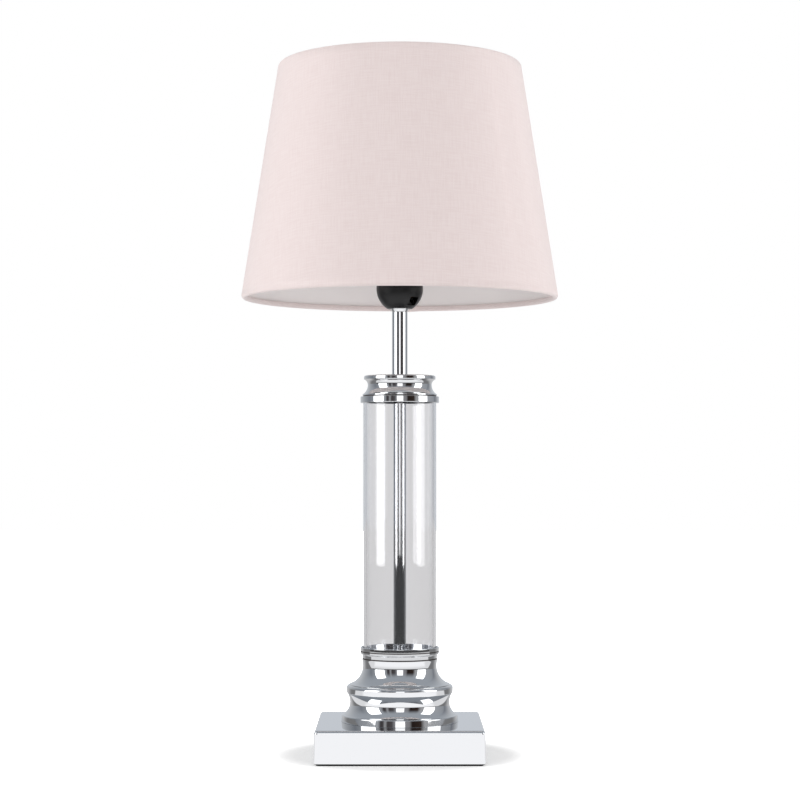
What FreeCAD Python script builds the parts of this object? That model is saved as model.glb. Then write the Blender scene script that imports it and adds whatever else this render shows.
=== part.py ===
# Candlestick lamp: a square chromed foot, a turned pedestal in two pieces, a clear glass column
# with the tie rod down its middle, a turned cap, a plain stem, a black lampholder, and a tapered
# drum shade that hangs on the holder by a dropped three-armed carrier.
# Millimetres. +Z is up and the lamp faces -Y. The origin is on the table, on the column's axis.

import FreeCAD, Part
import math
import os

# ---- driving sizes --------------------------------------------------------------------------

# felt pad and square foot
felt_thickness = 1.2
felt_inset = 1.5                # the felt stops short of the foot's edge
base_side = 130.0
base_height = 25.3
base_wall = 2.0
base_corner_radius = 2.8        # the four upright corners
base_edge_radius = 2.7          # the edge round the top
weight_gap = 0.5                # round the weight, inside the shell
nut_pocket_radius = 16.0
nut_pocket_roof = 5.5           # iron left above the pocket
cable_channel_width = 14.0

# fasteners under the foot
washer_radius = 12.0
washer_thickness = 2.0
lock_washer_radius = 8.5
lock_washer_thickness = 2.0
lock_washer_slit = 2.0
nut_across_flats = 17.0
nut_height = 5.0
rod_end_below_nut = 1.5

# cable inlet in the back of the foot
inlet_height = 11.0             # above the table
inlet_hole_radius = 5.0
grommet_flange_radius = 6.5
grommet_flange_thickness = 1.4
cable_bore_radius = 3.2

# tie rod and the stem's sleeve over it
rod_radius = 5.0
rod_bore_radius = 3.5
rod_clearance = 0.1             # between the rod and what slides over it
stem_wall = 1.0
stem_length = 50.5
neck_flare = 1.2                # the cone washer is this much wider than the stem at its top
neck_height = 2.5

# lower pedestal: foot disc, cove, and a rim with a rounded upper edge
foot_radius = 46.0
foot_height = 5.6
foot_edge_radius = 1.0
lower_height = 28.7
lower_cove_foot_radius = 44.4   # where the cove runs out on the foot disc
lower_waist_radius = 39.2
lower_waist_height = 15.0       # above the square foot
lower_cove_top_radius = 41.7
lower_cove_top_height = 22.7    # above the square foot
rim_radius = 41.9
rim_edge_radius = 2.4
pedestal_wall = 2.6
pedestal_plate = 3.0            # the flat top of each pedestal piece
register_height = 1.5           # the raised disc that centres the upper piece
register_clearance = 0.1

# upper pedestal: cove, neck, and the cup that seats the glass
upper_height = 29.4
upper_land = 0.5                # height of the thin edge at the bottom of the cove
upper_neck_radius = 29.15
upper_neck_height = 14.5        # of the neck's narrowest place, above the lower piece
neck_swell = 0.45               # how much the neck widens towards the cup
neck_swell_height = 5.0
cup_undercut = 0.5
cup_depth = 5.5
cup_wall = 2.0
cup_edge_radius = 0.5

# glass column
glass_radius = 28.75
glass_wall = 2.5
glass_length = 199.5
glass_clearance = 0.25
gasket_thickness = 1.0

# turned cap
cap_height = 21.5
cap_seat_depth = 4.1
cap_band_height = 4.9
cap_groove_height = 0.8
cap_groove_depth = 1.4
cap_flare_inset = 1.6           # the flare above the groove is this much inside the band
cap_flare_land = 1.0
cap_waist_radius = 25.25
cap_waist_height = 14.2         # above the cap's lower edge
cap_lip_radius = 28.25
cap_lip_height = 2.9
cap_lip_edge_radius = 1.2
cap_hollow_wall = 4.3
cap_top_thickness = 4.0

# lampholder
holder_base_radius = 9.9
dome_radius = 18.45
dome_curve_height = 16.0        # where the curve stands upright
dome_height = 22.0
dome_wall = 1.8
dome_floor = 2.8
ledge_height = 13.0             # the ledge inside that carries the terminal block
ledge_width = 1.75
bush_wall = 1.2
bush_flange_radius = 8.2
bush_flange_thickness = 1.2
bush_length = 8.0
lock_screw_radius = 1.5
lock_screw_length = 3.6
lock_screw_height = 6.6         # above the dome's flat bottom
notch_direction = -44.0         # degrees from +X, the window for the lock screw
notch_width = 8.6
notch_bottom = 2.2              # above the dome's flat bottom
notch_height = 6.3
notch_depth = 3.0               # how far the window reaches in from the bush
notch_ramp_depth = 1.6          # of the ramp that leads in, at the window's upper edge
block_flange_thickness = 3.0
block_height = 23.5             # above its flange
block_clearance = 0.15
well_depth = 5.5                # from the block's rim, which carries the screw shell
wire_hole_radius = 2.0
wire_hole_offset = 9.0
terminal_width = 5.4
terminal_depth = 5.0
terminal_gap = 0.6              # over the rod's upper end
terminal_offset = 8.8
terminal_screw_radius = 1.5
terminal_head_radius = 2.0
terminal_head_height = 1.8
barrel_height = 40.0
barrel_skirt_radius = 19.0
barrel_thread_radius = 19.6
barrel_spigot_wall = 1.4
barrel_mouth_chamfer = 1.0
flange_height = 10.0            # the shade's seat, above the barrel's lower edge
flange_thickness = 3.0
flange_radius = 23.5
shell_radius = 13.3             # inside the screw shell, clear of the lamp cap's thread
shell_wall = 0.5
shell_length = 20.5
shell_foot_width = 1.8
shell_clearance = 0.1
contact_width = 6.0
contact_thickness = 0.5
contact_offset = 8.0            # from the axis to the strip's upright leg
contact_tail = 3.0              # the leg's length inside the block
contact_leg = 2.2
contact_rise = 2.0
contact_clearance = 0.2
contact_travel = 1.5
side_contact_width = 4.0

# shade ring
ring_height = 9.0
ring_flange_height = 3.0
ring_flange_radius = 27.0
ring_grip_radius = 24.0
ring_thread_clearance = 0.1
ring_groove_count = 16
ring_groove_radius = 1.1
seat_gap = 0.3                  # under and over the carrier's ring, which turns between them

# shade
shade_height = 186.0
shade_bottom_radius = 124.9     # outside, at the middle of the rolled rim
shade_top_radius = 96.4
fabric_thickness = 0.8
liner_thickness = 0.5
rim_wire_radius = 2.0
carrier_rise = 27.85            # the carrier's ring above the shade's lower rim
carrier_bore_radius = 21.0
carrier_ring_width = 9.0
carrier_ring_thickness = 1.2
arm_radius = 1.75
arm_weld = 1.0                  # how far an arm is sunk into the edge of the carrier's ring
arm_count = 3
arm_bend_radius = 8.0
arm_foot = 5.0                  # the arm's level run past the ring
arm_first_direction = 90.0      # degrees from +X, so that one arm is at the back

# ---- levels, worked out from the sizes -------------------------------------------------------

foot_top = felt_thickness + base_height
weight_top = foot_top - base_wall
pocket_top = weight_top - nut_pocket_roof
lock_washer_top = pocket_top - washer_thickness
nut_top = lock_washer_top - lock_washer_thickness
rod_bottom = nut_top - nut_height - rod_end_below_nut
lower_top = foot_top + lower_height
cup_top = lower_top + upper_height
cup_floor = cup_top - cup_depth
glass_bottom = cup_floor + gasket_thickness
glass_top = glass_bottom + glass_length
cap_ceiling = glass_top + gasket_thickness
cap_bottom = cap_ceiling - cap_seat_depth
cap_top = cap_bottom + cap_height
stem_top = cap_top + stem_length
dome_bottom = stem_top + neck_height
ledge_level = dome_bottom + ledge_height
block_base = ledge_level + block_flange_thickness
block_top = block_base + block_height
well_floor = block_top - well_depth
dome_top = dome_bottom + dome_height
rod_top = dome_bottom + bush_length
terminal_bottom = rod_top + terminal_gap
terminal_middle = (terminal_bottom + ledge_level) / 2
seat_level = dome_top + flange_height + flange_thickness
barrel_top = dome_top + barrel_height
carrier_bottom = seat_level + seat_gap
carrier_top = carrier_bottom + carrier_ring_thickness
ring_bottom = carrier_top + seat_gap
shade_bottom = carrier_bottom - carrier_rise
shade_top = shade_bottom + shade_height

# ---- radii that fit one another --------------------------------------------------------------

rod_hole_radius = rod_radius + rod_clearance
stem_radius = rod_hole_radius + stem_wall
cup_bore_radius = glass_radius + glass_clearance
cup_radius = cup_bore_radius + cup_wall
glass_bore_radius = glass_radius - glass_wall
cavity_radius = lower_waist_radius - pedestal_wall
neck_bore_radius = upper_neck_radius - pedestal_wall
register_radius = neck_bore_radius - register_clearance
upper_foot_radius = rim_radius - rim_edge_radius
cap_flare_radius = cup_radius - cap_flare_inset
bush_radius = rod_radius + bush_wall
dome_bore_radius = dome_radius - dome_wall
ledge_radius = dome_bore_radius - ledge_width
block_flange_radius = dome_bore_radius - block_clearance
spigot_bore_radius = dome_bore_radius - barrel_spigot_wall
block_radius = spigot_bore_radius - block_clearance
shell_outer_radius = shell_radius + shell_wall
well_radius = shell_radius - shell_foot_width
barrel_bore_radius = shell_outer_radius + shell_clearance
wrap_radius = rim_wire_radius + fabric_thickness
bottom_wire = (shade_bottom_radius - wrap_radius, shade_bottom + wrap_radius)
top_wire = (shade_top_radius - wrap_radius, shade_top - wrap_radius)
carrier_ring_radius = carrier_bore_radius + carrier_ring_width

up = FreeCAD.Vector(0, 0, 1)
axis_point = FreeCAD.Vector(0, 0, 0)


# ---- helpers ---------------------------------------------------------------------------------

def spot(radius, height):
    # a point of a half section, in the plane that is turned about the column's axis
    return FreeCAD.Vector(radius, 0, height)


class HalfSection:
    # the outline of a turned piece, walked from point to point and closed at the start

    def __init__(self, radius, height):
        self.start = spot(radius, height)
        self.here = self.start
        self.edges = []

    def line(self, radius, height):
        there = spot(radius, height)
        if (there - self.here).Length > 1e-6:
            self.edges.append(Part.makeLine(self.here, there))
            self.here = there
        return self

    def arc(self, radius, height, centre_radius, centre_height):
        # the shorter arc about the given centre
        there = spot(radius, height)
        centre = spot(centre_radius, centre_height)
        outward = (self.here + there) * 0.5 - centre
        middle = centre + outward.normalize() * (there - centre).Length
        self.edges.append(Part.Arc(self.here, middle, there).toShape())
        self.here = there
        return self

    def turned(self):
        self.line(self.start.x, self.start.z)
        return Part.Face(Part.Wire(self.edges)).revolve(axis_point, up, 360)


def upright_centre(waist_radius, waist_height, far_radius, far_height):
    # centre radius of the arc that stands upright at the waist and runs out at the far point
    reach = far_radius - waist_radius
    rise = far_height - waist_height
    return waist_radius + (reach * reach + rise * rise) / (2 * reach)


def disc(radius, low, high):
    return Part.makeCylinder(radius, high - low, FreeCAD.Vector(0, 0, low))


def tube(radius, bore, low, high):
    return disc(radius, low, high).cut(disc(bore, low, high))


def bar(direction, radius, near, far, height):
    # a level round bar that points away from the axis, in degrees from +X
    angle = math.radians(direction)
    way = FreeCAD.Vector(math.cos(angle), math.sin(angle), 0)
    return Part.makeCylinder(radius, far - near, way * near + up * height, way)


def block(width, depth, low, high, centre_x=0.0, centre_y=0.0):
    corner = FreeCAD.Vector(centre_x - width / 2, centre_y - depth / 2, low)
    return Part.makeBox(width, depth, high - low, corner)


def upright_edges(shape):
    return [edge for edge in shape.Edges
            if abs(edge.Vertexes[0].Z - edge.Vertexes[-1].Z) > 1e-6]


def edges_at(shape, level):
    return [edge for edge in shape.Edges
            if all(abs(vertex.Z - level) < 1e-6 for vertex in edge.Vertexes)]


def rounded_slab(side, low, high, corner_radius):
    slab = block(side, side, low, high)
    return slab.makeFillet(corner_radius, upright_edges(slab))


def turned_copies(shape, count, first_direction=0.0):
    copies = []
    for index in range(count):
        copy = shape.copy()
        copy.rotate(axis_point, up, first_direction + 360.0 * index / count)
        copies.append(copy)
    return copies


# ---- foot ------------------------------------------------------------------------------------

def felt_pad():
    side = base_side - 2 * felt_inset
    return rounded_slab(side, 0, felt_thickness, base_corner_radius)


def base_plate():
    # a pressed shell, open below, with a hole for the rod and one for the cable at the back
    shell = rounded_slab(base_side, felt_thickness, foot_top, base_corner_radius)
    shell = shell.makeFillet(base_edge_radius, edges_at(shell, foot_top))
    inner_side = base_side - 2 * base_wall
    shell = shell.cut(block(inner_side, inner_side, felt_thickness, weight_top))
    shell = shell.cut(disc(rod_hole_radius, weight_top, foot_top))
    return shell.cut(bar(90, inlet_hole_radius, inner_side / 2 - base_wall, base_side / 2, inlet_height))


def base_weight():
    side = base_side - 2 * base_wall - 2 * weight_gap
    weight = block(side, side, felt_thickness, weight_top)
    weight = weight.cut(disc(nut_pocket_radius, felt_thickness, pocket_top))
    weight = weight.cut(disc(rod_hole_radius, pocket_top, weight_top))
    channel_top = inlet_height + cable_channel_width / 2
    channel = block(cable_channel_width, side / 2, felt_thickness, channel_top, 0, side / 4)
    return weight.cut(channel)


def base_washer():
    return tube(washer_radius, rod_hole_radius, lock_washer_top, pocket_top)


def lock_washer():
    ring = tube(lock_washer_radius, rod_hole_radius, nut_top, lock_washer_top)
    reach = 2 * lock_washer_radius
    return ring.cut(block(reach, lock_washer_slit, nut_top, lock_washer_top, reach / 2))


def base_nut():
    corner = nut_across_flats / math.sqrt(3)
    points = [FreeCAD.Vector(corner * math.cos(math.radians(60 * k)),
                             corner * math.sin(math.radians(60 * k)),
                             nut_top - nut_height) for k in range(6)]
    prism = Part.Face(Part.makePolygon(points + points[:1])).extrude(up * nut_height)
    return prism.cut(disc(rod_radius, nut_top - nut_height, nut_top))


def cable_grommet():
    # a rubber ring with a flange on each side of the foot's back wall
    outside = base_side / 2
    inside = outside - base_wall
    rubber = bar(90, inlet_hole_radius, inside, outside, inlet_height)
    for near in (inside - grommet_flange_thickness, outside):
        flange = bar(90, grommet_flange_radius, near, near + grommet_flange_thickness, inlet_height)
        rubber = rubber.fuse(flange)
    bore = bar(90, cable_bore_radius, inside - grommet_flange_thickness,
               outside + grommet_flange_thickness, inlet_height)
    return rubber.cut(bore).removeSplitter()


# ---- column ----------------------------------------------------------------------------------

def lower_pedestal():
    foot_level = foot_top + foot_height
    waist_level = foot_top + lower_waist_height
    cove_level = foot_top + lower_cove_top_height
    edge_level = lower_top - rim_edge_radius
    lower_centre = upright_centre(lower_waist_radius, waist_level,
                                  lower_cove_foot_radius, foot_level)
    upper_centre = upright_centre(lower_waist_radius, waist_level,
                                  lower_cove_top_radius, cove_level)
    outline = HalfSection(cavity_radius, foot_top)
    outline.line(foot_radius, foot_top)
    outline.line(foot_radius, foot_level - foot_edge_radius)
    outline.arc(foot_radius - foot_edge_radius, foot_level,
                foot_radius - foot_edge_radius, foot_level - foot_edge_radius)
    outline.line(lower_cove_foot_radius, foot_level)
    outline.arc(lower_waist_radius, waist_level, lower_centre, waist_level)
    outline.arc(lower_cove_top_radius, cove_level, upper_centre, waist_level)
    outline.line(rim_radius, edge_level)
    outline.arc(upper_foot_radius, lower_top, upper_foot_radius, edge_level)
    outline.line(register_radius, lower_top)
    outline.line(register_radius, lower_top + register_height)
    outline.line(rod_hole_radius, lower_top + register_height)
    outline.line(rod_hole_radius, lower_top - pedestal_plate)
    outline.line(cavity_radius, lower_top - pedestal_plate)
    return outline.turned()


def upper_pedestal():
    land_level = lower_top + upper_land
    neck_level = lower_top + upper_neck_height
    swell_level = neck_level + neck_swell_height
    undercut_level = cup_floor
    centre = upright_centre(upper_neck_radius, neck_level, upper_foot_radius, land_level)
    swell = upright_centre(upper_neck_radius, neck_level,
                           upper_neck_radius + neck_swell, swell_level)
    plate_bottom = cup_floor - pedestal_plate
    outline = HalfSection(neck_bore_radius, lower_top)
    outline.line(upper_foot_radius, lower_top)
    outline.line(upper_foot_radius, land_level)
    outline.arc(upper_neck_radius, neck_level, centre, neck_level)
    outline.arc(upper_neck_radius + neck_swell, swell_level, swell, neck_level)
    outline.line(upper_neck_radius + neck_swell, undercut_level - cup_undercut)
    outline.line(cup_radius - cup_edge_radius, undercut_level)
    outline.line(cup_radius, undercut_level + cup_edge_radius)
    outline.line(cup_radius, cup_top - cup_edge_radius)
    outline.arc(cup_radius - cup_edge_radius, cup_top,
                cup_radius - cup_edge_radius, cup_top - cup_edge_radius)
    outline.line(cup_bore_radius, cup_top)
    outline.line(cup_bore_radius, cup_floor)
    outline.line(rod_hole_radius, cup_floor)
    outline.line(rod_hole_radius, plate_bottom)
    outline.line(neck_bore_radius, plate_bottom)
    return outline.turned()


def lower_gasket():
    return tube(glass_radius, glass_bore_radius, cup_floor, glass_bottom)


def glass_tube():
    return tube(glass_radius, glass_bore_radius, glass_bottom, glass_top)


def upper_gasket():
    return tube(glass_radius, glass_bore_radius, glass_top, cap_ceiling)


def tie_rod():
    return tube(rod_radius, rod_bore_radius, rod_bottom, rod_top)


def cap():
    groove_level = cap_bottom + cap_band_height
    flare_level = groove_level + cap_groove_height
    scotia_level = flare_level + cap_flare_land
    waist_level = cap_bottom + cap_waist_height
    lip_level = cap_top - cap_lip_height
    groove_radius = cup_radius - cap_groove_depth - cap_groove_height
    lower_centre = upright_centre(cap_waist_radius, waist_level, cap_flare_radius, scotia_level)
    upper_centre = upright_centre(cap_waist_radius, waist_level, cap_lip_radius, lip_level)
    hollow_radius = cap_waist_radius - cap_hollow_wall
    outline = HalfSection(cup_bore_radius, cap_bottom)
    outline.line(cup_radius - cup_edge_radius, cap_bottom)
    outline.arc(cup_radius, cap_bottom + cup_edge_radius,
                cup_radius - cup_edge_radius, cap_bottom + cup_edge_radius)
    outline.line(cup_radius, groove_level)
    outline.line(groove_radius, groove_level)
    outline.line(groove_radius, flare_level)
    outline.line(cap_flare_radius, flare_level)
    outline.line(cap_flare_radius, scotia_level)
    outline.arc(cap_waist_radius, waist_level, lower_centre, waist_level)
    outline.arc(cap_lip_radius, lip_level, upper_centre, waist_level)
    outline.line(cap_lip_radius, cap_top - cap_lip_edge_radius)
    outline.arc(cap_lip_radius - cap_lip_edge_radius, cap_top,
                cap_lip_radius - cap_lip_edge_radius, cap_top - cap_lip_edge_radius)
    outline.line(rod_hole_radius, cap_top)
    outline.line(rod_hole_radius, cap_top - cap_top_thickness)
    outline.line(hollow_radius, cap_top - cap_top_thickness)
    outline.line(hollow_radius, cap_ceiling)
    outline.line(cup_bore_radius, cap_ceiling)
    return outline.turned()


def stem_sleeve():
    return tube(stem_radius, rod_hole_radius, cap_top, stem_top)


def neck_washer():
    outline = HalfSection(rod_hole_radius, stem_top)
    outline.line(stem_radius, stem_top)
    outline.line(stem_radius + neck_flare, dome_bottom)
    outline.line(rod_hole_radius, dome_bottom)
    return outline.turned()


# ---- lampholder ------------------------------------------------------------------------------

def dome_curve(level, wall=0.0):
    # the dome's radius at a level, or that of the same curve drawn in by a wall
    curve = upright_centre(dome_radius, dome_curve_height, holder_base_radius, 0)
    swing = dome_radius - curve - wall
    drop = dome_bottom + dome_curve_height - level
    return curve + math.sqrt(swing * swing - drop * drop)


def notch():
    # the lock screw's window: a three-cornered hole, and a ramp beside it that leads in
    half = notch_width / 2
    low = dome_bottom + notch_bottom
    high = low + notch_height
    inside = bush_radius + notch_depth

    def surface(level):
        # the dome's face at one edge of the window, measured out from the axis
        return math.sqrt(dome_curve(level) ** 2 - half ** 2)

    hole = [(inside, -half, high), (inside, half, high), (inside, half, low)]
    ramp = [(surface(high) - notch_ramp_depth, -half, high),
            (surface(low) - notch_ramp_depth, half, low), (surface(low), -half, low)]
    window = cut_outwards(hole).fuse(cut_outwards(ramp))
    window.rotate(axis_point, up, notch_direction)
    return window


def cut_outwards(corners):
    # what a three-cornered cutter takes away between these corners and the dome's outside
    points = [FreeCAD.Vector(*corner) for corner in corners]
    face = Part.Face(Part.makePolygon(points + points[:1]))
    return face.extrude(FreeCAD.Vector(dome_radius, 0, 0))


def holder_dome():
    floor_level = dome_bottom + dome_floor
    curve_level = dome_bottom + dome_curve_height
    centre = upright_centre(dome_radius, curve_level, holder_base_radius, dome_bottom)
    swing = dome_radius - centre - dome_wall
    bend_level = curve_level - math.sqrt(swing ** 2 - (ledge_radius - centre) ** 2)
    outline = HalfSection(bush_radius, dome_bottom)
    outline.line(holder_base_radius, dome_bottom)
    outline.arc(dome_radius, curve_level, centre, curve_level)
    outline.line(dome_radius, dome_top)
    outline.line(dome_bore_radius, dome_top)
    outline.line(dome_bore_radius, ledge_level)
    outline.line(ledge_radius, ledge_level)
    outline.line(ledge_radius, bend_level)
    outline.arc(dome_curve(floor_level, dome_wall), floor_level, centre, curve_level)
    outline.line(bush_radius, floor_level)
    return outline.turned().cut(notch())


def entry_bush():
    floor_level = dome_bottom + dome_floor
    outline = HalfSection(rod_radius, dome_bottom)
    outline.line(bush_radius, dome_bottom)
    outline.line(bush_radius, floor_level)
    outline.line(bush_flange_radius, floor_level)
    outline.line(bush_flange_radius, floor_level + bush_flange_thickness)
    outline.line(bush_radius, floor_level + bush_flange_thickness)
    outline.line(bush_radius, rod_top)
    outline.line(rod_radius, rod_top)
    return outline.turned().cut(screw_path())


def screw_path():
    return bar(notch_direction, lock_screw_radius, rod_radius,
               rod_radius + lock_screw_length, dome_bottom + lock_screw_height)


def lock_screw():
    rod = disc(rod_radius, rod_bottom, rod_top)
    return screw_path().cut(rod)


def contact_slot():
    # the pocket in the well's floor that the centre contact's leg slides in
    depth = contact_tail + contact_travel + contact_clearance
    return block(contact_thickness + 2 * contact_clearance,
                 contact_width + 2 * contact_clearance,
                 well_floor - depth, well_floor, contact_offset)


def terminal_block():
    # a flange held between dome and barrel, and a well whose rim carries the screw shell
    outline = HalfSection(0, ledge_level)
    outline.line(block_flange_radius, ledge_level)
    outline.line(block_flange_radius, block_base)
    outline.line(block_radius, block_base)
    outline.line(block_radius, well_floor)
    outline.line(shell_outer_radius, well_floor)
    outline.line(shell_outer_radius, block_top)
    outline.line(well_radius, block_top)
    outline.line(well_radius, well_floor)
    outline.line(0, well_floor)
    body = outline.turned()
    for side in (-1, 1):
        hole = Part.makeCylinder(wire_hole_radius, well_floor - ledge_level,
                                 FreeCAD.Vector(0, side * wire_hole_offset, ledge_level))
        body = body.cut(hole)
    side_slot = block(contact_thickness, side_contact_width, ledge_level, well_floor, -contact_offset)
    return body.cut(contact_slot()).cut(side_slot).cut(side_tab())


def terminal_seat(side):
    # one brass terminal under the block, with the hole its screw goes into
    body = block(terminal_width, terminal_depth, terminal_bottom, ledge_level,
                 side * terminal_offset)
    return body.cut(terminal_screw_shank(side))


def terminal_screw_shank(side):
    start = FreeCAD.Vector(side * terminal_offset, -terminal_depth / 2, terminal_middle)
    return Part.makeCylinder(terminal_screw_radius, terminal_depth / 2, start,
                             FreeCAD.Vector(0, 1, 0))


def terminals():
    return Part.makeCompound([terminal_seat(side) for side in (-1, 1)])


def terminal_screws():
    screws = []
    for side in (-1, 1):
        start = FreeCAD.Vector(side * terminal_offset, -terminal_depth / 2 - terminal_head_height,
                               terminal_middle)
        head = Part.makeCylinder(terminal_head_radius, terminal_head_height, start,
                                 FreeCAD.Vector(0, 1, 0))
        screws.append(head.fuse(terminal_screw_shank(side)))
    return Part.makeCompound(screws)


def centre_contact():
    # a bronze strip: an upright leg in its pocket, then a tongue that rises over the middle
    half = contact_thickness / 2
    outside = contact_offset + half
    inside = contact_offset - half
    tip = -contact_width / 2
    leg_top = well_floor + contact_leg
    leg_bottom = well_floor - contact_tail
    slope = contact_rise / (inside - tip)
    points = [(outside, leg_bottom), (outside, leg_top + contact_thickness),
              (tip, leg_top + contact_thickness + slope * (outside - tip)),
              (tip, leg_top + slope * (outside - tip)), (inside, leg_top),
              (inside, leg_bottom)]
    corners = [FreeCAD.Vector(x, -contact_width / 2, z) for x, z in points]
    side = Part.Face(Part.makePolygon(corners + corners[:1]))
    return side.extrude(FreeCAD.Vector(0, contact_width, 0))


def side_tab():
    # the side contact's bent end, which lies under the screw shell's foot
    inner = contact_offset - contact_thickness / 2
    outer = shell_radius
    return block(outer - inner, side_contact_width, block_top - contact_thickness,
                 block_top, -(inner + outer) / 2)


def side_contact():
    # a strip from the other terminal, up through the block and out over its rim
    strip = block(contact_thickness, side_contact_width, ledge_level,
                  block_top - contact_thickness, -contact_offset)
    return strip.fuse(side_tab()).removeSplitter()


def screw_shell():
    outline = HalfSection(well_radius, block_top)
    outline.line(shell_outer_radius, block_top)
    outline.line(shell_outer_radius, block_top + shell_length)
    outline.line(shell_radius, block_top + shell_length)
    outline.line(shell_radius, block_top + shell_wall)
    outline.line(well_radius, block_top + shell_wall)
    return outline.turned()


def holder_barrel():
    # a spigot that screws into the dome, a skirt, the shade's seat, and the threaded neck
    flange_bottom = seat_level - flange_thickness
    outline = HalfSection(spigot_bore_radius, block_base)
    outline.line(dome_bore_radius, block_base)
    outline.line(dome_bore_radius, dome_top)
    outline.line(barrel_skirt_radius, dome_top)
    outline.line(barrel_skirt_radius, flange_bottom)
    outline.line(flange_radius, flange_bottom)
    outline.line(flange_radius, seat_level)
    outline.line(barrel_thread_radius, seat_level)
    outline.line(barrel_thread_radius, barrel_top)
    outline.line(barrel_bore_radius + barrel_mouth_chamfer, barrel_top)
    outline.line(barrel_bore_radius, barrel_top - barrel_mouth_chamfer)
    outline.line(barrel_bore_radius, well_floor)
    outline.line(spigot_bore_radius, well_floor)
    return outline.turned()


def shade_ring():
    bore = barrel_thread_radius + ring_thread_clearance
    grip_bottom = ring_bottom + ring_flange_height
    ring_top = ring_bottom + ring_height
    outline = HalfSection(bore, ring_bottom)
    outline.line(ring_flange_radius, ring_bottom)
    outline.line(ring_flange_radius, grip_bottom)
    outline.line(ring_grip_radius, grip_bottom)
    outline.line(ring_grip_radius, ring_top)
    outline.line(bore, ring_top)
    groove = Part.makeCylinder(ring_groove_radius, ring_top - grip_bottom,
                               spot(ring_grip_radius, grip_bottom))
    return outline.turned().cut(turned_copies(groove, ring_groove_count))


# ---- shade -----------------------------------------------------------------------------------

def slant():
    # unit steps of the half section: up along the shade's side, and square to it, outwards
    rise = spot(top_wire[0] - bottom_wire[0], top_wire[1] - bottom_wire[1]).normalize()
    return rise, spot(rise.z, -rise.x)


def carrier_arm():
    # level where it leaves the ring's edge, then bent up and run straight to the top wire
    level = carrier_bottom + carrier_ring_thickness / 2
    start = spot(carrier_ring_radius - arm_weld, level)
    corner = spot(carrier_ring_radius + arm_foot, level)
    end = spot(top_wire[0], top_wire[1])
    way = (end - corner).normalize()
    turn = math.acos(way.x)
    back = arm_bend_radius * math.tan(turn / 2)
    bend_start = corner - spot(back, 0)
    bend_end = corner + way * back
    centre = bend_start + spot(0, arm_bend_radius)
    towards_corner = (corner - centre).normalize()
    bend = Part.Arc(bend_start, centre + towards_corner * arm_bend_radius, bend_end).toShape()
    first = Part.makeLine(start, bend_start)
    last = Part.makeLine(bend_end, end)
    path = Part.Wire([first, bend, last])
    ring = Part.Wire(Part.makeCircle(arm_radius, start, FreeCAD.Vector(1, 0, 0)))
    return path.makePipeShell([ring], True, False)


def carrier_arms():
    return turned_copies(carrier_arm(), arm_count, arm_first_direction)


def shade_carrier():
    # the flat ring that sits on the lampholder and its arms, which end against the top wire
    ring = tube(carrier_ring_radius, carrier_bore_radius, carrier_bottom, carrier_top)
    return ring.fuse(carrier_arms()).cut(upper_wire())


def upper_wire():
    return Part.makeTorus(top_wire[0], rim_wire_radius, FreeCAD.Vector(0, 0, top_wire[1]))


def lower_wire():
    return Part.makeTorus(bottom_wire[0], rim_wire_radius, FreeCAD.Vector(0, 0, bottom_wire[1]))


def shade_fabric():
    # the side, its two ends rolled round the wires and tucked in, and notched for the arms
    rise, outward = slant()
    low = spot(*bottom_wire)
    high = spot(*top_wire)

    def beside(centre, along, across):
        point = centre + rise * along + outward * across
        return point.x, point.z

    outline = HalfSection(*beside(low, 0, wrap_radius))
    outline.line(*beside(high, 0, wrap_radius))
    outline.arc(*beside(high, wrap_radius, 0), *top_wire)
    outline.arc(*beside(high, 0, -wrap_radius), *top_wire)
    outline.arc(*beside(high, -wrap_radius, 0), *top_wire)
    outline.line(*beside(high, -rim_wire_radius, 0))
    outline.arc(*beside(high, 0, -rim_wire_radius), *top_wire)
    outline.arc(*beside(high, rim_wire_radius, 0), *top_wire)
    outline.arc(*beside(high, 0, rim_wire_radius), *top_wire)
    outline.line(*beside(low, 0, rim_wire_radius))
    outline.arc(*beside(low, -rim_wire_radius, 0), *bottom_wire)
    outline.arc(*beside(low, 0, -rim_wire_radius), *bottom_wire)
    outline.arc(*beside(low, rim_wire_radius, 0), *bottom_wire)
    outline.line(*beside(low, wrap_radius, 0))
    outline.arc(*beside(low, 0, -wrap_radius), *bottom_wire)
    outline.arc(*beside(low, -wrap_radius, 0), *bottom_wire)
    outline.arc(*beside(low, 0, wrap_radius), *bottom_wire)
    return outline.turned().cut(carrier_arms())


def shade_liner():
    # the white stiffener behind the fabric, from one rolled rim to the other
    rise, outward = slant()
    low = spot(*bottom_wire) + rise * wrap_radius + outward * rim_wire_radius
    high = spot(*top_wire) - rise * wrap_radius + outward * rim_wire_radius
    outline = HalfSection(low.x, low.z)
    outline.line(high.x, high.z)
    inner_high = high - outward * liner_thickness
    outline.line(inner_high.x, inner_high.z)
    inner_low = low - outward * liner_thickness
    outline.line(inner_low.x, inner_low.z)
    return outline.turned()


# ---- export ----------------------------------------------------------------------------------

pieces = (
    felt_pad, base_plate, base_weight, base_washer, lock_washer, base_nut, cable_grommet,
    lower_pedestal, upper_pedestal, lower_gasket, glass_tube, upper_gasket, tie_rod, cap,
    stem_sleeve, neck_washer, holder_dome, entry_bush, lock_screw, terminal_block, terminals,
    terminal_screws, centre_contact, side_contact, screw_shell, holder_barrel, shade_ring,
    shade_carrier, upper_wire, lower_wire, shade_fabric, shade_liner,
)

os.makedirs("parts", exist_ok=True)
for piece in pieces:
    shape = piece()
    shape.exportStep("parts/" + piece.__name__ + ".step")
    print(piece.__name__, len(shape.Solids), round(shape.Volume), shape.isValid())
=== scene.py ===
# A candlestick table lamp: square chromed foot, turned column round a clear glass tube, black
# lampholder and a tapered drum shade in dusty pink cloth. Lengths in the dictionaries are
# millimetres; Blender gets metres. The lamp faces -Y and stands on z = 0.

import math

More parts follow.
